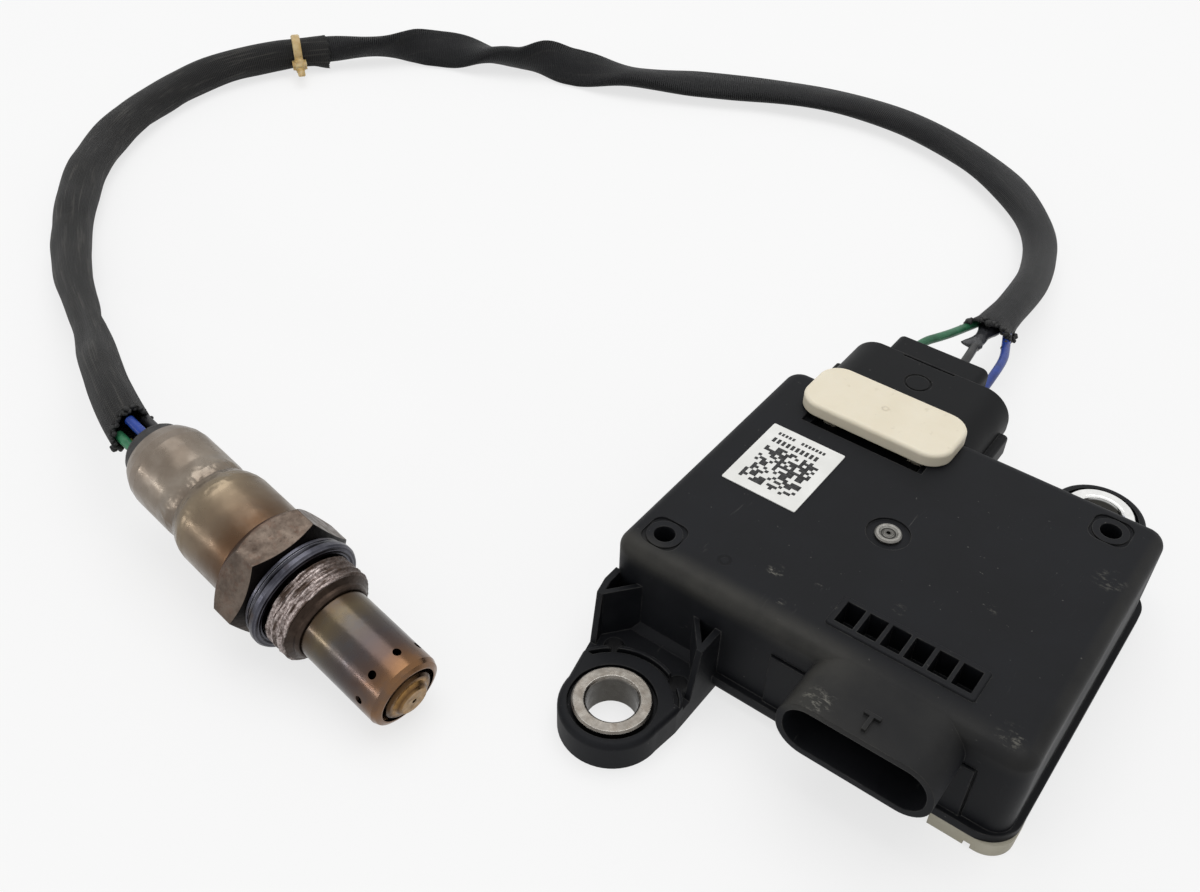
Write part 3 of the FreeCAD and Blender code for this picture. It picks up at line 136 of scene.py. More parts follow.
class Finish:
    """One material: its node tree, with short calls for the nodes that the finishes share."""

    def __init__(self, name, colour, roughness=0.5, metallic=0.0, **sockets):
        self.material = bpy.data.materials.new(name)
        self.material.use_nodes = True
        self.tree = self.material.node_tree
        self.shader = self.tree.nodes["Principled BSDF"]
        self.place = self.tree.nodes.new("ShaderNodeTexCoord").outputs["Object"]
        self.normal = None
        self.set("Base Color", colour)
        self.set("Roughness", roughness)
        self.set("Metallic", metallic)
        for socket, value in sockets.items():
            self.set(socket.replace("_", " "), value)

    def set(self, socket, value):
        self.feed(self.shader.inputs[socket], value)

    def feed(self, socket, value):
        if isinstance(value, bpy.types.NodeSocket):
            self.tree.links.new(value, socket)
        else:
            socket.default_value = value

    def node(self, kind, inputs, **settings):
        made = self.tree.nodes.new(kind)
        for key, value in settings.items():
            setattr(made, key, value)
        for key, value in inputs.items():
            self.feed(made.inputs[key], value)
        return made

    def stretched(self, scale, place=None):
        """Coordinates scaled by three numbers, for grain that runs one way."""
        inputs = {"Vector": place or self.place, "Scale": scale}
        return self.node("ShaderNodeMapping", inputs).outputs[0]

    def noise(self, size, detail=3.0, rough=0.55, place=None, twist=0.0):
        """Noise whose features are about this large, in metres."""
        inputs = {"Vector": place or self.place, "Scale": 1 / size, "Detail": detail,
                  "Roughness": rough, "Distortion": twist}
        return self.node("ShaderNodeTexNoise", inputs).outputs["Fac"]

    def level(self, value, low, high, start=0.0, end=1.0):
        """The value taken from low..high to start..end, and held at the ends."""
        inputs = {"Value": value, 1: low, 2: high, 3: start, 4: end}
        return self.node("ShaderNodeMapRange", inputs, interpolation_type="SMOOTHSTEP").outputs[0]

    def maths(self, operation, first, second=0.0):
        return self.node("ShaderNodeMath", {0: first, 1: second}, operation=operation).outputs[0]

    def mix(self, share, first, second):
        made = self.node("ShaderNodeMix", {0: share, 6: first, 7: second}, data_type="RGBA")
        return made.outputs[2]

    def ramp(self, value, stops):
        """A colour ramp through (place, colour) stops."""
        made = self.node("ShaderNodeValToRGB", {"Fac": value})
        steps = made.color_ramp.elements
        while len(steps) < len(stops):
            steps.new(0.5)
        for step, (position, colour) in zip(steps, stops):
            step.position = position
            step.color = colour
        return made.outputs[0]

    def split(self, vector=None):
        return self.node("ShaderNodeSeparateXYZ", {"Vector": vector or self.place}).outputs

    def soften(self, radius):
        """Round the sharp edges in the shading, and return a mask of those edges."""
        bevel = self.node("ShaderNodeBevel", {"Radius": radius}, samples=6).outputs[0]
        true = self.node("ShaderNodeNewGeometry", {}).outputs["Normal"]
        inputs = {0: bevel, 1: true}
        alike = self.node("ShaderNodeVectorMath", inputs, operation="DOT_PRODUCT").outputs["Value"]
        self.normal = bevel
        return self.level(alike, 0.995, 0.80)

    def bump(self, height, depth, strength=1.0):
        """Add relief of this depth, in metres, to what is there already."""
        inputs = {"Height": height, "Distance": depth, "Strength": strength}
        if self.normal is not None:
            inputs["Normal"] = self.normal
        self.normal = self.node("ShaderNodeBump", inputs).outputs[0]
        self.set("Normal", self.normal)

    def product(self, *factors):
        result = factors[0]
        for factor in factors[1:]:
            result = self.maths("MULTIPLY", result, factor)
        return result

    def distance(self, place):
        """How far a point is from this place, in metres."""
        inputs = {0: self.place, 1: place}
        return self.node("ShaderNodeVectorMath", inputs, operation="DISTANCE").outputs["Value"]

    def facing(self, direction):
        """How far the surface itself faces this direction, from -1 to 1."""
        true = self.node("ShaderNodeNewGeometry", {}).outputs["Normal"]
        inputs = {0: true, 1: direction}
        return self.node("ShaderNodeVectorMath", inputs, operation="DOT_PRODUCT").outputs["Value"]

    def ring(self, value, inner, outer, soft):
        """A band of the value between two limits, with soft edges."""
        return self.product(self.level(value, inner - soft, inner + soft),
                            self.level(value, outer + soft, outer - soft))

    def done(self):
        if self.normal is not None:
            self.set("Normal", self.normal)
        return self.material


def probe_turn():
    """The rotation that takes the upright Z axis to the probe's axis."""
    sideways = UP.cross(PROBE_AXIS).normalized()
    upward = PROBE_AXIS.cross(sideways).normalized()
    return Matrix((upward, PROBE_AXIS.cross(upward), PROBE_AXIS)).transposed()


def probe_place(finish):
    """Coordinates along the probe: X up, Y sideways, Z the station behind the tip."""
    inputs = {"Vector": finish.place, "Location": PROBE_TIP, "Rotation": probe_turn().to_euler()}
    return finish.node("ShaderNodeMapping", inputs, vector_type="TEXTURE").outputs[0]


def probe_radius(finish, along):
    """The distance from the probe's axis."""
    squares = finish.maths("ADD", finish.maths("POWER", along[0], 2.0),
                           finish.maths("POWER", along[1], 2.0))
    return finish.maths("SQRT", squares)


def moulded_black(name, colour, edge_colour, dust_and_edge_highlight=0.35):
    """Matte moulded plastic: fine grain, faint clouds, scuffs, and paler edges that are part wear and
    part painted highlight.
    """
    made = Finish(name, colour, Specular_IOR_Level=0.12)
    edges = made.soften(0.35 * MM)
    clouds = made.noise(16 * MM, 5.0, 0.6)
    shade = made.mix(made.level(clouds, 0.35, 0.7, 0.0, 0.8), colour, edge_colour)
    scratches = made.noise(1.5 * MM, 6.0, 0.7, made.stretched((1.0, 0.12, 1.0)), 0.6)
    scuffs = made.product(made.level(scratches, 0.64, 0.76), made.level(clouds, 0.48, 0.62))
    specks = made.level(made.noise(0.9 * MM, 2.0), 0.73, 0.80)
    # Paler edges: part wear, part a painted highlight that picks the edges out.
    edge_wear_and_highlight = made.product(edges, made.level(made.noise(2.5 * MM), 0.3, 0.7, 0.15, 0.9))
    marks = made.maths("MAXIMUM", made.maths("MAXIMUM", scuffs, specks), edge_wear_and_highlight)
    # The strength of the marks, which also sets the painted highlight on the edges.
    marks = made.product(marks, dust_and_edge_highlight)
    made.set("Base Color", made.mix(marks, shade, srgb(100, 99, 96)))
    made.set("Roughness", made.level(clouds, 0.3, 0.7, 0.46, 0.6))
    made.bump(made.noise(0.22 * MM, 2.0), 0.02 * MM, 0.7)
    return made


def housing_finish():
    """The unit's plastic, with a painted highlight along its front edge, small scuffs and a moulding
    mark.
    """
    # Marks at strength 0.5, which also sets the painted highlight on its edges.
    made = moulded_black("housing_black", srgb(15, 16, 19), srgb(26, 27, 30), 0.5)
    x, y, z = made.split()
    patchy = made.level(made.noise(9 * MM, 4.0, 0.55), 0.25, 0.7, 0.45, 1.0)
    # Painted highlight: a paler band on the rounded front edge, a fainter one on the right edge and one
    # on the shroud, broken up by a patchy noise.
    front_edge_highlight = made.product(made.level(y, 22.2 * MM, 18.2 * MM), made.level(x, 39 * MM, 24 * MM, 0.35),
                            made.level(z, 18.2 * MM, 21.8 * MM))
    right_edge_highlight = made.product(made.level(x, 59.6 * MM, 61.4 * MM), made.level(z, 19.5 * MM, 22.0 * MM),
                            0.4)
    shroud_edge_highlight = made.product(made.level(y, 9.4 * MM, 7.2 * MM), made.level(x, 35.5 * MM, 29 * MM),
                             made.level(z, 18 * MM, 21 * MM), 0.7)
    painted_edge_highlight = made.maths("MAXIMUM", made.maths("MAXIMUM", front_edge_highlight, right_edge_highlight), shroud_edge_highlight)
    under = made.shader.inputs["Base Color"].links[0].from_socket
    colour = made.mix(made.product(painted_edge_highlight, patchy), under, srgb(56, 55, 52))
    scratch = made.level(made.noise(0.8 * MM, 5.0, 0.7, made.stretched((0.5, 1.0, 1.0))), 0.5, 0.66)
    scuffs = 0.0
    for place, size, strength in SCUFFS:
        spot = made.level(made.distance(Vector(place) * MM), size * MM, 0.25 * size * MM, 0, strength)
        scuffs = made.maths("MAXIMUM", made.product(spot, scratch), scuffs)
    colour = made.mix(scuffs, colour, srgb(128, 126, 118))
    mark = made.distance(Vector(MOULD_MARK) * MM)
    made.set("Base Color", made.mix(made.product(made.ring(mark, 0.75 * MM, 1.15 * MM, 0.15 * MM), 0.7),
                                    colour, srgb(9, 9, 11)))
    made.bump(made.ring(mark, 0.7 * MM, 1.2 * MM, 0.2 * MM), -0.12 * MM)
    return made.done()


def lock_finish():
    """Cream moulded plastic with a faint mottle and the small round gate mark on its top."""
    made = Finish("lock_cream", srgb(226, 217, 196), 0.46, Specular_IOR_Level=0.4,
                  Subsurface_Weight=0.05, Subsurface_Radius=(0.002, 0.0015, 0.001),
                  Subsurface_Scale=0.6)
    edges = made.soften(0.4 * MM)
    mottle = made.mix(made.noise(7 * MM, 4.0), srgb(220, 210, 186), srgb(232, 224, 205))
    grime = made.product(edges, made.level(made.noise(3 * MM), 0.35, 0.75, 0.0, 0.45))
    stains = made.product(made.level(made.noise(2.2 * MM, 5.0), 0.62, 0.74), 0.25)
    colour = made.mix(made.maths("MAXIMUM", grime, stains), mottle, srgb(178, 166, 140))
    low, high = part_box("plug_lock")
    centre = ((low.x + high.x) / 2, (low.y + high.y) / 2 + 0.2 * MM, high.z)
    away = made.distance(centre)
    ring = made.product(made.level(away, 0.25 * MM, 0.5 * MM),
                        made.level(away, 0.95 * MM, 0.65 * MM))
    made.set("Base Color", made.mix(made.product(ring, 0.35), colour, srgb(196, 184, 160)))
    made.bump(made.level(away, 0.3 * MM, 0.8 * MM), 0.15 * MM)
    made.bump(made.noise(0.6 * MM, 3.0), 0.015 * MM)
    return made.done()


def cover_finish():
    """Grey-beige plastic with a chalky mottle and darker spots."""
    made = Finish("cover_beige", srgb(176, 171, 154), 0.6, Specular_IOR_Level=0.35)
    made.soften(0.3 * MM)
    mottle = made.mix(made.noise(5 * MM, 5.0), srgb(162, 156, 138), srgb(190, 186, 170))
    spots = made.product(made.level(made.noise(1.2 * MM, 3.0), 0.66, 0.76), 0.5)
    made.set("Base Color", made.mix(spots, mottle, srgb(104, 99, 88)))
    made.bump(made.noise(0.8 * MM, 4.0), 0.06 * MM)
    return made.done()


def plain(name, colour, roughness=0.5, metallic=0.0, size=3 * MM, spread=0.25, grain=0.02 * MM):
    """A simple finish: its colour varied by a noise of this size, and a fine grain."""
    made = Finish(name, colour, roughness, metallic)
    dark = tuple(value * (1 - spread) for value in colour[:3]) + (1.0,)
    light = tuple(min(1.0, value * (1 + spread)) for value in colour[:3]) + (1.0,)
    made.set("Base Color", made.mix(made.level(made.noise(size, 4.0), 0.3, 0.7), dark, light))
    made.set("Roughness", made.level(made.noise(size * 0.7), 0.3, 0.7, roughness * 0.85,
                                     min(1.0, roughness * 1.15)))
    made.bump(made.noise(0.3 * MM, 3.0), grain)
    return made.done()


def bush_finish(name, face, blotch, roughness, bore_shade):
    """Turned steel: a mottled face, a painted highlight on its rims and painted shade in its bore."""
    made = Finish(name, face, roughness, 1.0)
    edges = made.soften(0.25 * MM)
    shade = made.mix(made.level(made.noise(1.6 * MM, 5.0, 0.65), 0.3, 0.7), face, blotch)
    # Painted shade down in the bore, below the face.
    inside = made.level(made.split()[2], 6.3 * MM, 5.6 * MM)
    shade = made.mix(made.product(inside, bore_shade), shade, srgb(58, 57, 54))
    # Painted highlight along the rims.
    made.set("Base Color", made.mix(made.product(edges, 0.8), shade, srgb(232, 230, 224)))
    made.set("Roughness", made.level(made.noise(1.2 * MM, 4.0), 0.3, 0.7, roughness * 0.8,
                                     roughness * 1.3))
    made.bump(made.noise(0.5 * MM, 3.0, 0.6, made.stretched((1.0, 1.0, 0.2))), 0.02 * MM)
    return made.done()


def rivet_finish():
    """Dull pressed metal, its raised ring paler and its groove dark."""
    made = Finish("rivet_grey", srgb(112, 111, 107), 0.4, 1.0)
    edges = made.soften(0.15 * MM)
    low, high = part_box("centre_rivet")
    from_axis = made.distance(((low.x + high.x) / 2, (low.y + high.y) / 2, high.z))
    stops = [(0.0, srgb(24, 24, 24)), (0.2, srgb(96, 95, 92)), (0.38, srgb(110, 109, 105)),
             (0.46, srgb(30, 30, 30)), (0.6, srgb(52, 52, 50)), (0.7, srgb(150, 149, 144)),
             (1.0, srgb(128, 126, 122))]
    tint = made.ramp(made.level(from_axis, 0.0, 2.4 * MM), stops)
    blotch = made.level(made.noise(0.7 * MM, 4.0, 0.65), 0.35, 0.7, 0.0, 0.5)
    tint = made.mix(blotch, tint, srgb(84, 82, 78))
    made.set("Base Color", made.mix(made.product(edges, 0.4), tint, srgb(190, 188, 182)))
    made.bump(made.noise(0.4 * MM, 3.0), 0.03 * MM)
    return made.done()


def shell_finish():
    """Satin steel, brownish grey with a straw tint in front of its neck, painted shade down one side,
    and shallow dents.
    """
    made = Finish("shell_steel", srgb(150, 142, 126), 0.3, 1.0)
    along = made.split(probe_place(made))
    stops = [(0.0, srgb(86, 66, 50)), (0.1, srgb(112, 97, 80)), (0.36, srgb(128, 116, 98)),
             (0.5, srgb(118, 108, 98)), (0.62, srgb(142, 133, 122)), (1.0, srgb(132, 122, 112))]
    tint = made.ramp(made.level(along[2], 40 * MM, 70 * MM), stops)
    blotch = made.level(made.noise(9 * MM, 4.0, 0.6), 0.36, 0.7)
    tint = made.mix(made.product(blotch, 0.6), tint, srgb(100, 88, 76))
    # Painted shade: darker and browner towards one side of the shell.
    side_shade = made.level(along[1], 1 * MM, 9 * MM, 0.0, 0.55)
    tint = made.mix(side_shade, tint, srgb(104, 90, 70))
    specks = made.level(made.noise(0.8 * MM, 3.0), 0.70, 0.78)
    made.set("Base Color", made.mix(made.product(specks, 0.5), tint, srgb(84, 70, 54)))
    made.set("Roughness", made.level(made.noise(3 * MM, 4.0), 0.3, 0.7, 0.24, 0.4))
    neck = made.ring(along[2], 51 * MM, 58 * MM, 1.5 * MM)
    made.bump(made.product(made.noise(3.6 * MM, 2.0), neck), 0.7 * MM)
    made.bump(made.noise(7 * MM, 2.0), 0.25 * MM)
    return made.done()


def hex_finish():
    """Heat-browned steel, rusty at the shell's joint, its front chamfer near-black with dirt and painted
    shade.
    """
    made = Finish("hex_steel", srgb(112, 103, 93), 0.4, 1.0)
    edges = made.soften(0.4 * MM)
    along = made.split(probe_place(made))
    base = made.mix(made.level(made.noise(4 * MM, 5.0, 0.65), 0.3, 0.7), srgb(74, 64, 57),
                    srgb(104, 93, 84))
    pits = made.level(made.noise(1.1 * MM, 5.0, 0.7), 0.56, 0.7)
    base = made.mix(made.product(pits, 0.5), base, srgb(48, 39, 33))
    rust = made.level(made.noise(2.6 * MM, 5.0, 0.7), 0.5, 0.68)
    joint = made.level(along[2], 37.4 * MM, 39.2 * MM)
    rust = made.maths("MAXIMUM", made.product(rust, 0.35), made.product(joint, 0.75))
    base = made.mix(rust, base, srgb(82, 52, 38))
    base = made.mix(made.product(edges, 0.3), base, srgb(136, 127, 118))
    threads = made.mix(made.noise(1.5 * MM, 4.0), srgb(36, 28, 24), srgb(78, 66, 58))
    base = made.mix(made.level(along[2], 31.1 * MM, 30.9 * MM), base, threads)
    # The front chamfer: dirt and painted shade between the hex and the gasket, near black and strongest
    # on its upper side.
    above = made.level(along[0], -7 * MM, 2 * MM, 0.25, 1.0)
    front = made.product(made.level(made.facing(tuple(-PROBE_AXIS)), 0.35, 0.6),
                         made.level(along[2], 30.6 * MM, 30.9 * MM), above)
    made.set("Base Color", made.mix(made.product(front, 0.97), base, srgb(10, 9, 10)))
    made.set("Roughness", made.level(made.noise(1.6 * MM, 4.0), 0.3, 0.7, 0.32, 0.55))
    made.bump(made.noise(1.4 * MM, 4.0, 0.65), 0.1 * MM)
    return made.done()


def gasket_finish():
    """Dark bluish-grey steel ring with thin paler lines on its face and rims."""
    made = Finish("gasket_steel", srgb(84, 86, 96), 0.32, 1.0)
    edges = made.soften(0.2 * MM)
    along = made.split(probe_place(made))
    radius = probe_radius(made, along)
    lines = made.maths("SINE", made.product(radius, 2 * math.pi / (0.62 * MM)))
    tint = made.mix(made.level(made.noise(4 * MM, 4.0), 0.3, 0.7), srgb(50, 50, 57), srgb(84, 84, 92))
    tint = made.mix(made.level(lines, 0.5, 1.0, 0.0, 0.6), tint, srgb(30, 29, 33))
    tint = made.mix(made.product(edges, 0.6), tint, srgb(168, 168, 174))
    brown = made.level(made.noise(5 * MM, 4.0, 0.6), 0.52, 0.68, 0.0, 0.6)
    made.set("Base Color", made.mix(brown, tint, srgb(74, 60, 50)))
    made.bump(lines, 0.05 * MM)
    made.bump(made.noise(1.2 * MM, 3.0), 0.05 * MM)
    return made.done()


def paste_finish():
    """Silvery, slightly pink anti-seize paste smeared round dark brown threads."""
    made = Finish("thread_paste", srgb(150, 136, 130), 0.4, 0.8)
    along = probe_place(made)
    x, y = made.split(along)[:2]
    side = made.maths("SUBTRACT", made.product(x, 0.6), made.product(y, 0.8))
    # The silvery patches keep mostly to the upper front side of the threads; elsewhere the threads show
    # dark brown.
    upper_front_side = made.level(side, 0.5 * MM, 6.5 * MM)
    streaks = made.noise(2.2 * MM, 5.0, 0.65, made.stretched((0.45, 0.45, 2.6), along), 0.3)
    patches = made.product(made.level(streaks, 0.38, 0.56), made.maths("ADD", upper_front_side, 0.1))
    flakes = made.mix(made.level(made.noise(0.5 * MM, 4.0, 0.7), 0.35, 0.65), srgb(196, 184, 180),
                      srgb(120, 106, 102))
    brown = made.mix(made.noise(1.2 * MM, 4.0), srgb(40, 30, 25), srgb(86, 70, 60))
    made.set("Base Color", made.mix(patches, brown, flakes))
    made.set("Roughness", made.level(made.noise(0.7 * MM), 0.3, 0.7, 0.26, 0.6))
    made.bump(made.noise(0.45 * MM, 4.0, 0.7), 0.12 * MM)
    return made.done()


def tube_finish():
    """Stainless tube with heat tints: dark brown-violet, and bronze at its tip's rim."""
    made = Finish("tube_steel", srgb(96, 88, 84), 0.24, 1.0)
    along = made.split(probe_place(made))
    wander = made.product(made.noise(5 * MM, 3.0), 2.4 * MM)
    station = made.level(made.maths("ADD", along[2], wander), 1.5 * MM, 23.5 * MM)
    stops = [(0.0, srgb(122, 90, 62)), (0.1, srgb(98, 74, 57)), (0.22, srgb(80, 66, 60)),
             (0.45, srgb(72, 65, 64)), (0.7, srgb(76, 70, 65)), (0.88, srgb(88, 78, 62)),
             (1.0, srgb(66, 52, 40))]
    tint = made.ramp(station, stops)
    bluish = made.product(made.level(made.noise(6 * MM, 4.0, 0.6), 0.45, 0.7), 0.4)
    made.set("Base Color", made.mix(bluish, tint, srgb(70, 73, 78)))
    made.set("Roughness", made.level(made.noise(2.4 * MM, 5.0), 0.3, 0.7, 0.18, 0.3))
    made.bump(made.noise(0.9 * MM, 3.0, 0.6, made.stretched((0.15, 1.0, 1.0), probe_place(made))),
              0.012 * MM)
    return made.done()


def cap_finish():
    """Golden-bronze tinted cap with darker rings."""
    made = Finish("cap_steel", srgb(150, 118, 76), 0.33, 1.0)
    along = made.split(probe_place(made))
    radius = probe_radius(made, along)
    stops = [(0.0, srgb(146, 120, 84)), (0.42, srgb(158, 126, 84)), (0.6, srgb(92, 68, 44)),
             (0.72, srgb(150, 116, 70)), (0.88, srgb(84, 62, 40)), (1.0, srgb(40, 30, 22))]
    tint = made.ramp(made.level(radius, 0.0, 5.6 * MM), stops)
    stains = made.product(made.level(made.noise(1.6 * MM, 5.0, 0.65), 0.45, 0.7), 0.5)
    made.set("Base Color", made.mix(stains, tint, srgb(78, 60, 44)))
    made.set("Roughness", made.level(made.noise(1.0 * MM, 4.0), 0.3, 0.7, 0.24, 0.48))
    made.bump(made.noise(0.7 * MM, 3.0), 0.03 * MM)
    return made.done()


def woven_finish(name, base, ridge, ribs, contrast, roughness):
    """Sleeve fabric: fine ridges along it, crossed by closer picks, with dust in the weave."""
    made = Finish(name, base, roughness, Specular_IOR_Level=0.15, Sheen_Weight=0.1,
                  Sheen_Roughness=0.5)
    wrap = made.node("ShaderNodeUVMap", {}, uv_map="weave").outputs[0]
    across = made.split(wrap)
    ridges = made.maths("SINE", made.product(across[0], 2 * math.pi * ribs))
    picks = made.maths("SINE", made.product(across[1], 2 * math.pi / (0.62 * MM)))
    weave = made.product(ridges, picks)
    runs = made.noise(1.0, 3.0, 0.6, made.stretched((34.0, 60.0, 1.0), wrap))
    streaks = made.product(made.level(runs, 0.52, 0.7), contrast)
    shade = made.mix(made.level(made.noise(14 * MM, 4.0), 0.3, 0.7, 0.0, 0.5), base, ridge)
    shade = made.mix(streaks, shade, srgb(86, 84, 80))
    lint = made.level(made.noise(0.9 * MM, 2.0), 0.76, 0.80, 0.0, 0.3)
    made.set("Base Color", made.mix(lint, shade, srgb(120, 118, 112)))
    made.bump(ridges, 0.05 * MM)
    made.bump(weave, 0.06 * MM)
    made.bump(made.noise(4 * MM, 3.0), 0.12 * MM)
    return made.done()


def wire_finish(name, colour, dark):
    made = Finish(name, colour, 0.38, Specular_IOR_Level=0.4)
    made.set("Base Color", made.mix(made.level(made.noise(2.5 * MM, 4.0), 0.35, 0.75, 0.0, 0.8),
                                    colour, dark))
    made.bump(made.noise(0.7 * MM, 3.0), 0.03 * MM)
    return made.done()


def tie_finish():
    """Natural nylon, aged to a deeper amber in patches."""
    made = Finish("tie_nylon", srgb(196, 172, 122), 0.4, Subsurface_Weight=0.3,
                  Subsurface_Radius=(0.004, 0.003, 0.0015), Subsurface_Scale=0.5)
    aged = made.level(made.noise(3 * MM, 4.0), 0.3, 0.7)
    made.set("Base Color", made.mix(aged, srgb(206, 184, 138), srgb(176, 146, 88)))
    made.bump(made.noise(0.8 * MM, 2.0), 0.03 * MM)
    return made.done()


def label_finish():
    made = Finish("label_white", srgb(228, 228, 224), 0.42, Specular_IOR_Level=0.4)
    clouds = made.level(made.noise(6 * MM, 4.0), 0.3, 0.7)
    smears = made.product(made.level(made.noise(1.6 * MM, 5.0, 0.7), 0.62, 0.76), 0.25)
    made.set("Base Color", made.mix(smears, made.mix(clouds, srgb(222, 222, 218),
                                                     srgb(233, 233, 230)), srgb(168, 168, 164)))
    made.bump(made.noise(0.8 * MM, 2.0), 0.01 * MM)
    return made.done()


def dress_nodes():
    """Give every CAD node its finish."""
    body_black = moulded_black("plug_black", srgb(11, 12, 14), srgb(20, 21, 23), 0.45).done()
    black_wire = wire_finish("wire_black", srgb(24, 24, 26), srgb(38, 38, 40))
    finishes = {
        "unit_housing": housing_finish(), "base_cover": cover_finish(),
        "cover_seal": plain("seal_rubber", srgb(40, 38, 38), 0.7),
        "front_bush": bush_finish("bush_steel", srgb(122, 118, 112), srgb(104, 98, 91), 0.3, 0.8),
        "rear_bush": bush_finish("bush_polished", srgb(240, 240, 238), srgb(228, 228, 226), 0.12, 1.0),
        "centre_rivet": rivet_finish(),
        "unit_label": label_finish(),
        "circuit_board": plain("board_green", srgb(24, 82, 54), 0.4),
        "processor": plain("chip_black", srgb(26, 26, 28), 0.5),
        "power_inductor": plain("inductor_grey", srgb(62, 60, 58), 0.6),
        "capacitors": plain("can_aluminium", srgb(190, 190, 192), 0.3, 0.9),
        "vehicle_pins": plain("pin_tin", srgb(196, 190, 176), 0.3, 1.0),
        "sensor_pins": plain("pin_tin_rear", srgb(196, 190, 176), 0.3, 1.0),
        "plug_contacts": plain("contact_gold", srgb(206, 176, 108), 0.3, 1.0),
        "plug_body": body_black, "plug_rear_cap": body_black,
        "plug_seal": plain("seal_blue_grey", srgb(70, 84, 96), 0.6),
        "plug_lock": lock_finish(), "outer_tube": tube_finish(), "inner_tube": cap_finish(),
        "hex_body": hex_finish(), "gasket_ring": gasket_finish(), "rear_shell": shell_finish(),
        "lower_insulator": plain("ceramic_white", srgb(224, 220, 210), 0.6),
        "upper_insulator": plain("ceramic_white_rear", srgb(224, 220, 210), 0.6),
        "powder_ring": plain("powder_grey", srgb(190, 190, 184), 0.9),
        "sensing_element": plain("element_grey", srgb(206, 202, 196), 0.5),
        "contact_holder": plain("holder_cream", srgb(214, 206, 190), 0.6),
        "cable_grommet": plain("grommet_black", srgb(30, 29, 29), 0.6, 0.0, 2 * MM, 0.3, 0.05 * MM),
        "contact_clips": plain("clip_steel", srgb(176, 172, 166), 0.35, 1.0),
        "probe_wire_green": wire_finish("wire_green", srgb(52, 122, 84), srgb(30, 84, 56)),
        "probe_wire_yellow": wire_finish("wire_yellow", srgb(196, 184, 84), srgb(152, 142, 58)),
        "probe_wire_blue": wire_finish("wire_blue", srgb(24, 62, 152), srgb(16, 40, 104)),
        "probe_wire_black_a": black_wire, "probe_wire_black_b": black_wire,
    }
    for name, finish in finishes.items():
        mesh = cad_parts[name].data
        mesh.materials.clear()
        mesh.materials.append(finish)


def add_piece(name, made, finish, body="root"):
    """Turn a bmesh into a named piece with its finish and its body."""
    mesh = bpy.data.meshes.new(name)
    bmesh.ops.recalc_face_normals(made, faces=made.faces)
    made.to_mesh(mesh)
    made.free()
    mesh.materials.append(finish)
    obj = bpy.data.objects.new(name, mesh)
    bpy.context.scene.collection.objects.link(obj)
    for face in mesh.polygons:
        face.use_smooth = True
    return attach(obj, body)


def nurbs(name, places):
    """A smooth curve that has these places, in millimetres, as its control points."""
    data = bpy.data.curves.new(name, "CURVE")
    data.dimensions = "3D"
    data.resolution_u = 40
    spline = data.splines.new("NURBS")
    spline.points.add(len(places) - 1)
    for point, place in zip(spline.points, places):
        point.co = (*(Vector(place) * MM), 1.0)
    spline.order_u = 3
    spline.use_endpoint_u = True
    return data


def read_line(places):
    """The points of the smooth curve through a route."""
    data = nurbs("route", places)
    obj = bpy.data.objects.new("route", data)
    bpy.context.scene.collection.objects.link(obj)
    mesh = bpy.data.meshes.new_from_object(obj)
    line = [vertex.co.copy() for vertex in mesh.vertices]
    bpy.data.objects.remove(obj)
    bpy.data.meshes.remove(mesh)
    bpy.data.curves.remove(data)
    return line


class Line:
    """A sampled line that is asked for its place and directions at a distance along it."""

    def __init__(self, points):
        self.points = points
        self.marks = [0.0]
        for before, after in zip(points, points[1:]):
            self.marks.append(self.marks[-1] + (after - before).length)
        self.length = self.marks[-1]

    def place(self, distance):
        """The place at a distance; past its ends the line runs on straight."""
        low, high = 0, len(self.marks) - 1
        while high - low > 1:
            middle = (low + high) // 2
            low, high = (middle, high) if self.marks[middle] <= distance else (low, middle)
        share = (distance - self.marks[low]) / (self.marks[high] - self.marks[low])
        return self.points[low] + (self.points[high] - self.points[low]) * share

    def frame(self, distance, reach=1.5 * MM):
        """The place, the level direction to the right of the heading, the upward one and the heading."""
        heading = (self.place(distance + reach) - self.place(distance - reach)).normalized()
        side = heading.cross(UP).normalized()
        return self.place(distance), side, side.cross(heading), heading


def bridge(made, rings, closed_ends=True):
    """Join rings of vertices into a skin, with flat caps on its first and last ring."""
    wrap = made.loops.layers.uv.get("weave")
    around = len(rings[0][0])
    for (lower, low_mark), (upper, high_mark) in zip(rings, rings[1:]):
        for i in range(around):
            following = (i + 1) % around
            face = made.faces.new((lower[i], lower[following], upper[following], upper[i]))
            if wrap is not None:
                corners = ((i, low_mark), (i + 1, low_mark), (i + 1, high_mark), (i, high_mark))
                for loop, (turn, mark) in zip(face.loops, corners):
                    loop[wrap].uv = (turn / around, mark)
    if closed_ends:
        made.faces.new(list(reversed(rings[0][0])))
        made.faces.new(rings[-1][0])


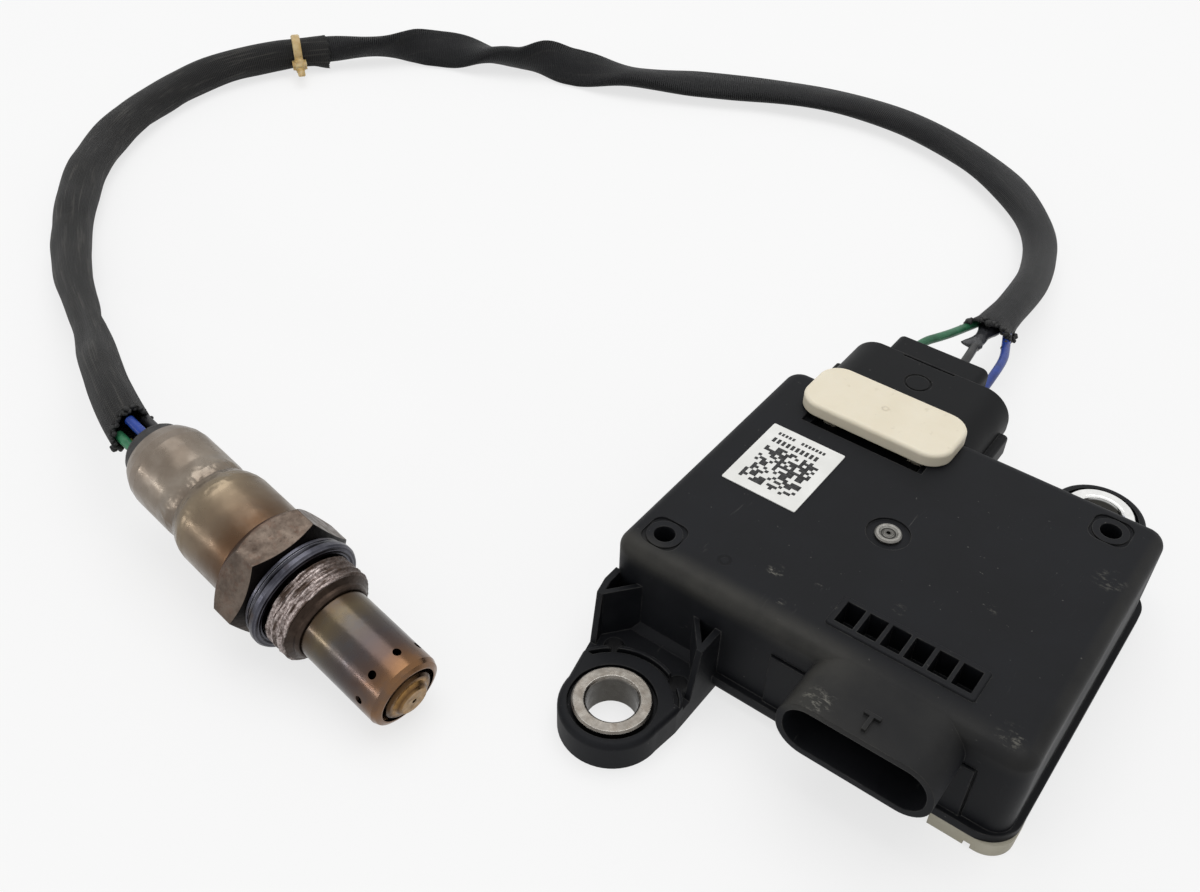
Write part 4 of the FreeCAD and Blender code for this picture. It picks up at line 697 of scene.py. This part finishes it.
def sleeve_mesh(line, step, around, section, start_edge, end_edge):
    """A hollow-ended sleeve. section gives its outline at a distance and an angle. The edges give
    how far its mouths stand out past the line's ends, and the rings near a mouth lean with it."""
    made = bmesh.new()
    made.loops.layers.uv.new("weave")
    count = max(2, round(line.length / step))

    def ring(distance, wall):
        places = []
        for i in range(around):
            angle = 2 * math.pi * i / around
            at = leaned(line, distance, angle, start_edge, end_edge)
            places.append(skin_place(line, at, distance, angle, section, wall))
        low = min(place.z for place in places)
        rise = UP * max(0.0, FLOOR_GAP + wall - low)
        return [made.verts.new(place + rise) for place in places], distance

    inside = [MOUTH_DEPTH * i / MOUTH_RINGS for i in range(MOUTH_RINGS + 1)]
    rings = [ring(depth, SLEEVE_WALL) for depth in reversed(inside)]
    rings += [ring(line.length * i / count, 0.0) for i in range(count + 1)]
    rings += [ring(line.length - depth, SLEEVE_WALL) for depth in inside]
    bridge(made, rings)
    return made


def leaned(line, distance, angle, start_edge, end_edge):
    """The distance along the line after a mouth's lean at this angle."""
    lean = 1 - eased(distance, 0.0, LEAN_REACH)
    lean_back = eased(distance, line.length - LEAN_REACH, line.length)
    return distance - start_edge(angle) * lean + end_edge(angle) * lean_back


def skin_place(line, at, distance, angle, section, wall):
    """A place on the sleeve's skin, this far in from its outside."""
    place, side, upward = line.frame(at)[:3]
    out, lift = section(distance, angle)
    size = math.hypot(out, lift)
    keep = (size - wall) / size
    return place + side * (out * keep) + upward * (lift * keep)


def eased(value, low, high):
    share = min(max((value - low) / (high - low), 0.0), 1.0)
    return share * share * (3 - 2 * share)


def between(stations, distance):
    """The numbers at a distance in a list of stations, eased from each to the next."""
    for before, after in zip(stations, stations[1:]):
        if distance <= after[0] * MM:
            share = eased(distance, before[0] * MM, after[0] * MM)
            return [a + (b - a) * share for a, b in zip(before[1:], after[1:])]
    return stations[-1][1:]


def front_section(length):
    """The woven sleeve: nearly round over its bundle of wires, opened at the probe."""
    def section(distance, angle):
        wide, high = between(FRONT_STATIONS, distance)
        end = eased(distance, length - 5 * MM, length)
        roll = 1.2 + 14.0 * distance
        lobes = 0.16 * math.cos(3 * angle + roll * 2) + 0.12 * math.cos(5 * angle - 31 * distance)
        dents = noise.noise(Vector((math.cos(angle) * 1.4, math.sin(angle) * 1.4, distance * 75)))
        corner = 0.9 * end * max(0.0, math.cos(angle + 0.9)) ** 4
        crease = 0.7 * near(angle, 0.0, 0.6) * math.exp(-((distance - CREASE_PLACE) / CREASE_LONG) ** 2)
        grow = (lobes + 0.42 * dents + corner - crease) * MM
        ribs = 0.035 * MM * math.cos(44 * angle)
        return ((wide * MM + grow + ribs) * math.cos(angle),
                (high * MM + grow + ribs) * math.sin(angle))
    return section


def rear_section(distance, angle):
    """The smooth sleeve: a flattened tube that turns about its line, spread at the plug."""
    wide, high, turn = between(REAR_STATIONS, distance)
    dents = noise.noise(Vector((math.cos(angle) * 1.1, math.sin(angle) * 1.1, 5.0 + distance * 48)))
    grow = 0.35 * dents * MM
    out = (wide * MM + grow) * math.cos(angle)
    lift = (high * MM + grow) * math.sin(angle)
    turn = math.radians(turn)
    return (out * math.cos(turn) - lift * math.sin(turn),
            out * math.sin(turn) + lift * math.cos(turn))


def fray(name, line, section, edges, at_end, count, size, finish):
    """A chain of small melted thread ends along a sleeve's mouth."""
    made = bmesh.new()
    distance = line.length if at_end else 0.0
    heading_way = 1 if at_end else -1
    for number in range(count):
        angle = 2 * math.pi * (number + random.uniform(-0.45, 0.45)) / count
        at = leaned(line, distance, angle, *edges)
        place = skin_place(line, at, distance, angle, section, SLEEVE_WALL * random.uniform(-0.3, 1.2))
        heading = line.frame(at)[3] * heading_way
        place += heading * (size * random.uniform(-0.7, 0.8))
        radius = size * random.uniform(0.6, 1.15)
        place.z = max(place.z, FLOOR_GAP + radius * 1.6)
        grown = Matrix.Diagonal([radius * random.uniform(0.7, 1.5) for _ in range(3)])
        turn = Matrix.Rotation(random.uniform(0, math.pi), 3, heading)
        lay = Matrix.Translation(place) @ (turn @ grown).to_4x4()
        lump = bmesh.ops.create_icosphere(made, subdivisions=2, radius=1.0, matrix=lay)["verts"]
        for vertex in lump:
            vertex.co += noise.noise_vector(vertex.co / (0.5 * MM)) * (size * 0.28)
    return add_piece(name, made, finish)


def near(angle, centre, spread):
    """A smooth bump round one angle, from 0 to 1."""
    away = math.remainder(angle - centre, 2 * math.pi)
    return math.exp(-(away / spread) ** 2)


def probe_mouth(angle):
    """The woven sleeve's mouth at the probe: its near side longer, its far side in a loose curl."""
    curl = 4.6 * near(angle, -0.05, 0.2)
    near_side = 2.6 * near(angle, math.pi, 0.9)
    return (0.2 + curl + near_side + 0.2 * math.sin(9 * angle)) * MM


def cut_end(angle):
    return (0.4 * math.sin(2 * angle + 0.6) + 0.2 * math.sin(11 * angle)) * MM


def hidden_end(angle):
    return 0.0


def plug_mouth(angle):
    """The smooth sleeve's mouth at the plug: an arch above, a leg on each side, cut back below."""
    legs = 2.3 * near(angle, -0.15, 0.4) + 4.3 * near(angle, 3.35, 0.42)
    below = 9.0 * eased(-math.sin(angle), 0.1, 0.6)
    return (0.3 + legs - below + 0.35 * math.sin(13 * angle)) * MM


def sleeves():
    """Both sleeves, their frayed mouths, and the cable tie."""
    woven = woven_finish("sleeve_woven", srgb(30, 30, 30), srgb(40, 39, 38), 88, 0.5, 0.62)
    smooth = woven_finish("sleeve_smooth", srgb(24, 25, 27), srgb(32, 32, 33), 120, 0.16, 0.5)
    thread = plain("fray_black", srgb(24, 24, 24), 0.7, 0.0, 1 * MM, 0.3)

    front_line = Line(read_line(FRONT_ROUTE))
    front_shape = front_section(front_line.length)
    front_edges = (probe_mouth, cut_end)
    made = sleeve_mesh(front_line, 1.1 * MM, 132, front_shape, *front_edges)
    front = add_piece("woven_sleeve", made, woven)
    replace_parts(front, "sleeve_front")
    front_fray = fray("woven_sleeve_fray", front_line, front_shape, front_edges, False, 74,
                      0.42 * MM, thread)
    cut_fray = fray("woven_sleeve_cut", front_line, front_shape, front_edges, True, 90,
                    0.17 * MM, thread)

    rear_line = Line(read_line(REAR_ROUTE))
    rear_edges = (hidden_end, plug_mouth)
    made = sleeve_mesh(rear_line, 1.3 * MM, 96, rear_section, *rear_edges)
    rear = add_piece("smooth_sleeve", made, smooth)
    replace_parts(rear, "sleeve_rear")
    rear_fray = fray("smooth_sleeve_fray", rear_line, rear_section, rear_edges, True, 84, 0.5 * MM,
                     thread)

    tie = cable_tie()


def cable_tie():
    """The nylon tie: a flat band, its head, and the cut tail."""
    across = TIE_HEADING.cross(UP)
    turn = Matrix((across, TIE_HEADING, UP)).transposed().to_4x4()
    lay = Matrix.Translation(TIE_PLACE) @ turn
    made = bmesh.new()
    sides = 56
    inner = SLEEVE_RADIUS - 0.1 * MM
    profile = [(0.0, -0.5), (0.0, 0.5), (0.55, 0.5), (0.9, 0.34), (0.9, -0.34), (0.55, -0.5)]
    rings = []
    for i in range(sides):
        angle = 2 * math.pi * i / sides
        ring = []
        for thick, place in profile:
            radius = inner + thick * MM
            ring.append(made.verts.new((radius * math.cos(angle), place * TIE_WIDE,
                                        radius * math.sin(angle))))
        rings.append(ring)
    for ring, following in zip(rings, rings[1:] + rings[:1]):
        for i in range(len(profile)):
            j = (i + 1) % len(profile)
            made.faces.new((ring[i], ring[j], following[j], following[i]))
    head_size = Vector((4.6, 4.3, 3.8)) * MM
    head_place = Vector((7.0, 0.0, -1.2)) * MM
    tail_size = Vector((6.0, 2.2, 1.0)) * MM
    tail_place = Vector((11.2, 0.0, -1.4)) * MM
    for size, place in ((head_size, head_place), (tail_size, tail_place)):
        lumps = bmesh.ops.create_cube(made, size=1.0)["verts"]
        bmesh.ops.scale(made, vec=size, verts=lumps)
        bmesh.ops.translate(made, vec=place, verts=lumps)
        edges = list({edge for vertex in lumps for edge in vertex.link_edges})
        bmesh.ops.bevel(made, geom=edges, offset=min(size) * 0.24, segments=3, affect="EDGES")
    made.transform(lay)
    obj = add_piece("nylon_tie", made, tie_finish())
    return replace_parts(obj, "cable_tie")


def plug_wires():
    """The three wires between the plug and the rear sleeve, and the shrink piece on one."""
    colours = {"green": (srgb(44, 104, 72), srgb(24, 70, 46)),
               "black": (srgb(26, 26, 27), srgb(42, 42, 42)),
               "blue": (srgb(26, 58, 142), srgb(16, 36, 92))}
    for name, places in PLUG_WIRES.items():
        data = nurbs("plug_lead_" + name, places)
        data.bevel_depth = WIRE_RADIUS
        data.bevel_resolution = 6
        data.use_fill_caps = True
        data.materials.append(wire_finish("lead_" + name, *colours[name]))
        obj = bpy.data.objects.new("plug_lead_" + name, data)
        bpy.context.scene.collection.objects.link(obj)
        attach(obj, "root")
        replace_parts(obj, "plug_wire_" + name)
    shrink_piece()


def shrink_piece():
    """Wrinkled shrink film over the black wire, with its loose corner."""
    line = Line(read_line(PLUG_WIRES["black"]))
    start = line.length - 11.5 * MM
    made = bmesh.new()
    around = 28
    rings = []
    steps = 26
    for i in range(steps + 1):
        distance = start + (line.length - start) * i / steps
        place, side, upward = line.frame(distance)[:3]
        ring = []
        spread = eased(i, 0.55 * steps, steps)
        for j in range(around):
            angle = 2 * math.pi * j / around
            wrinkle = noise.noise(Vector((math.cos(angle) * 2, math.sin(angle) * 2, i * 0.28)))
            fin = 1.7 * MM * max(0.0, -math.cos(angle)) ** 10 * (1 - eased(i, 1, 12))
            narrow = 1 - 0.3 * (1 - eased(i, 0, 2))
            wide = (1.45 + 0.9 * spread + 0.2 * wrinkle) * MM * narrow + fin
            high = (1.2 + 0.2 * spread + 0.2 * wrinkle) * MM * narrow
            ring.append(made.verts.new(place + side * (wide * math.cos(angle))
                                       + upward * (high * math.sin(angle))))
        rings.append((ring, distance))
    bridge(made, rings)
    obj = add_piece("shrink_film", made, plain("shrink_black", srgb(34, 35, 38), 0.36, 0.0,
                                               2 * MM, 0.35, 0.05 * MM))
    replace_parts(obj, "shrink_tube")


def thread_paste():
    """The boss's thread turns under their rough coat of paste, on the boss's own cylinder."""
    made = bmesh.new()
    around = 180
    steps = 64
    turn = probe_turn()
    rings = []
    inner = THREAD_RADIUS - 0.1 * MM
    outline = [(THREAD_START, inner)]
    for i in range(steps + 1):
        outline.append((THREAD_START + (THREAD_END - THREAD_START) * i / steps, None))
    outline.append((THREAD_END, inner))
    for station, radius in outline:
        ring = []
        for j in range(around):
            angle = 2 * math.pi * j / around
            size = radius
            if size is None:
                phase = station / THREAD_PITCH - j / around
                turns = abs(2 * (phase % 1.0) - 1)
                place = Vector((math.cos(angle) * 5, math.sin(angle) * 5, station / MM * 1.1))
                rough = noise.noise(place) + 0.5 * noise.noise(place * 2.7)
                size = THREAD_RADIUS + (0.03 + 0.42 * eased(turns, 0.25, 0.85)) * MM
                size += 0.2 * MM * max(rough, -0.1)
            local = Vector((size * math.cos(angle), size * math.sin(angle), station))
            ring.append(made.verts.new(PROBE_TIP + turn @ local))
        rings.append(ring)
    for ring, following in zip(rings, rings[1:] + rings[:1]):
        for j in range(around):
            k = (j + 1) % around
            made.faces.new((ring[j], ring[k], following[k], following[j]))
    add_piece("thread_paste_coat", made, paste_finish())


def label_print():
    """The label's print: a generic block of square marks and rows of plain bars."""
    low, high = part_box("unit_label")
    ink = plain("label_ink", srgb(30, 30, 31), 0.55, 0.0, 1 * MM, 0.3, 0.005 * MM)
    thick = 0.012 * MM
    cell = 0.68 * MM
    cells = 16
    corner = Vector((low.x + 2.1 * MM, low.y + 2.2 * MM, high.z))
    made = bmesh.new()

    def mark(x, y, wide, long):
        middle = (corner.x + x + wide / 2, corner.y + y + long / 2, corner.z + thick / 2)
        place = Matrix.Translation(middle) @ Matrix.Diagonal((wide, long, thick, 1))
        bmesh.ops.create_cube(made, size=1.0, matrix=place)

    for row in range(cells):
        start = None
        for column in range(cells + 1):
            dark = column < cells and random.random() < 0.52
            if dark and start is None:
                start = column
            elif not dark and start is not None:
                mark(start * cell, row * cell, (column - start) * cell, cell)
                start = None
    # Rows of bars: how far up and along each starts, its count, its bars' size and their pitch.
    rows = [(11.6, 0.0, 10, 0.62, 1.35, 0.98), (14.0, 0.0, 5, 0.5, 0.8, 0.74),
            (14.0, 4.9, 7, 0.5, 0.8, 0.74)]
    for up, along, count, wide, long, pitch in rows:
        for number in range(count):
            mark((along + number * pitch) * MM, up * MM, wide * MM, long * MM)
    add_piece("label_print", made, ink)


def camera():
    data = bpy.data.cameras.new("camera")
    data.sensor_width = SENSOR_WIDTH
    data.lens = SENSOR_WIDTH * FOCAL_PIXELS / IMAGE_WIDTH
    obj = bpy.data.objects.new("camera", data)
    bpy.context.scene.collection.objects.link(obj)
    forward = CAMERA_LINE.normalized()
    right = forward.cross(UP).normalized()
    turn = Matrix((right, right.cross(forward), -forward)).transposed()
    roll = Matrix.Rotation(CAMERA_ROLL, 3, "Z")
    obj.matrix_world = Matrix.Translation(CAMERA_PLACE) @ (turn @ roll).to_4x4()
    bpy.context.scene.camera = obj


def lamp(name, place, target, size, power):
    data = bpy.data.lights.new(name, "AREA")
    data.shape = "RECTANGLE"
    data.size, data.size_y = size
    data.energy = power
    obj = bpy.data.objects.new(name, data)
    bpy.context.scene.collection.objects.link(obj)
    line = Vector(place) - Vector(target)
    obj.matrix_world = Matrix.Translation(place) @ line.to_track_quat("Z", "Y").to_matrix().to_4x4()


def seen_directly(tree):
    """1 for rays from the camera, and for those that metal or glass sends on."""
    path = tree.nodes.new("ShaderNodeLightPath")
    total = path.outputs["Is Camera Ray"]
    for kind in ("Is Glossy Ray", "Is Transmission Ray"):
        made = tree.nodes.new("ShaderNodeMath")
        made.operation = "MAXIMUM"
        tree.links.new(total, made.inputs[0])
        tree.links.new(path.outputs[kind], made.inputs[1])
        total = made.outputs[0]
    return total


def studio():
    """A pale floor, a soft ceiling light and a low strip in front, under a pale sky."""
    lamp("ceiling", (-0.1, 0.25, 1.0), (-0.08, 0.08, 0.0), (0.9, 0.9), 5.2)
    lamp("front_strip", (-0.5, -0.8, 0.22), (-0.04, 0.0, 0.01), (0.5, 0.05), 1.0)

    world = bpy.data.worlds.new("studio_sky")
    bpy.context.scene.world = world
    world.use_nodes = True
    tree = world.node_tree
    output = tree.nodes["World Output"]
    sky = tree.nodes["Background"]
    height = tree.nodes.new("ShaderNodeSeparateXYZ")
    place = tree.nodes.new("ShaderNodeTexCoord")
    tree.links.new(place.outputs["Generated"], height.inputs[0])
    shades = tree.nodes.new("ShaderNodeValToRGB")
    tree.links.new(height.outputs[2], shades.inputs[0])
    shades.color_ramp.elements[0].position = 0.0
    shades.color_ramp.elements[0].color = grey(0.34)
    shades.color_ramp.elements[1].position = 1.0
    shades.color_ramp.elements[1].color = grey(0.72)
    tree.links.new(shades.outputs[0], sky.inputs["Color"])
    backdrop = tree.nodes.new("ShaderNodeBackground")
    backdrop.inputs["Color"].default_value = grey(1.0)
    joined = tree.nodes.new("ShaderNodeMixShader")
    tree.links.new(seen_directly(tree), joined.inputs[0])
    tree.links.new(sky.outputs[0], joined.inputs[1])
    tree.links.new(backdrop.outputs[0], joined.inputs[2])
    tree.links.new(joined.outputs[0], output.inputs["Surface"])

    mesh = bpy.data.meshes.new("floor")
    made = bmesh.new()
    bmesh.ops.create_grid(made, x_segments=1, y_segments=1, size=3.0)
    made.to_mesh(mesh)
    made.free()
    floor = bpy.data.objects.new("floor", mesh)
    bpy.context.scene.collection.objects.link(floor)
    material = bpy.data.materials.new("floor_white")
    material.use_nodes = True
    tree = material.node_tree
    matte = tree.nodes["Principled BSDF"]
    matte.inputs["Base Color"].default_value = grey(0.8)
    matte.inputs["Roughness"].default_value = 0.9
    matte.inputs["Specular IOR Level"].default_value = 0.1
    glow = tree.nodes.new("ShaderNodeEmission")
    glow.inputs["Color"].default_value = grey(1.0)
    share = tree.nodes.new("ShaderNodeMath")
    share.operation = "MULTIPLY"
    share.inputs[1].default_value = FLOOR_SHOWN
    tree.links.new(seen_directly(tree), share.inputs[0])
    joined = tree.nodes.new("ShaderNodeMixShader")
    tree.links.new(share.outputs[0], joined.inputs[0])
    tree.links.new(matte.outputs[0], joined.inputs[1])
    tree.links.new(glow.outputs[0], joined.inputs[2])
    tree.links.new(joined.outputs[0], tree.nodes["Material Output"].inputs["Surface"])
    mesh.materials.append(material)

    bpy.context.scene.view_settings.view_transform = "Standard"


camera()
sleeves()
plug_wires()
thread_paste()
label_print()
dress_nodes()
studio()
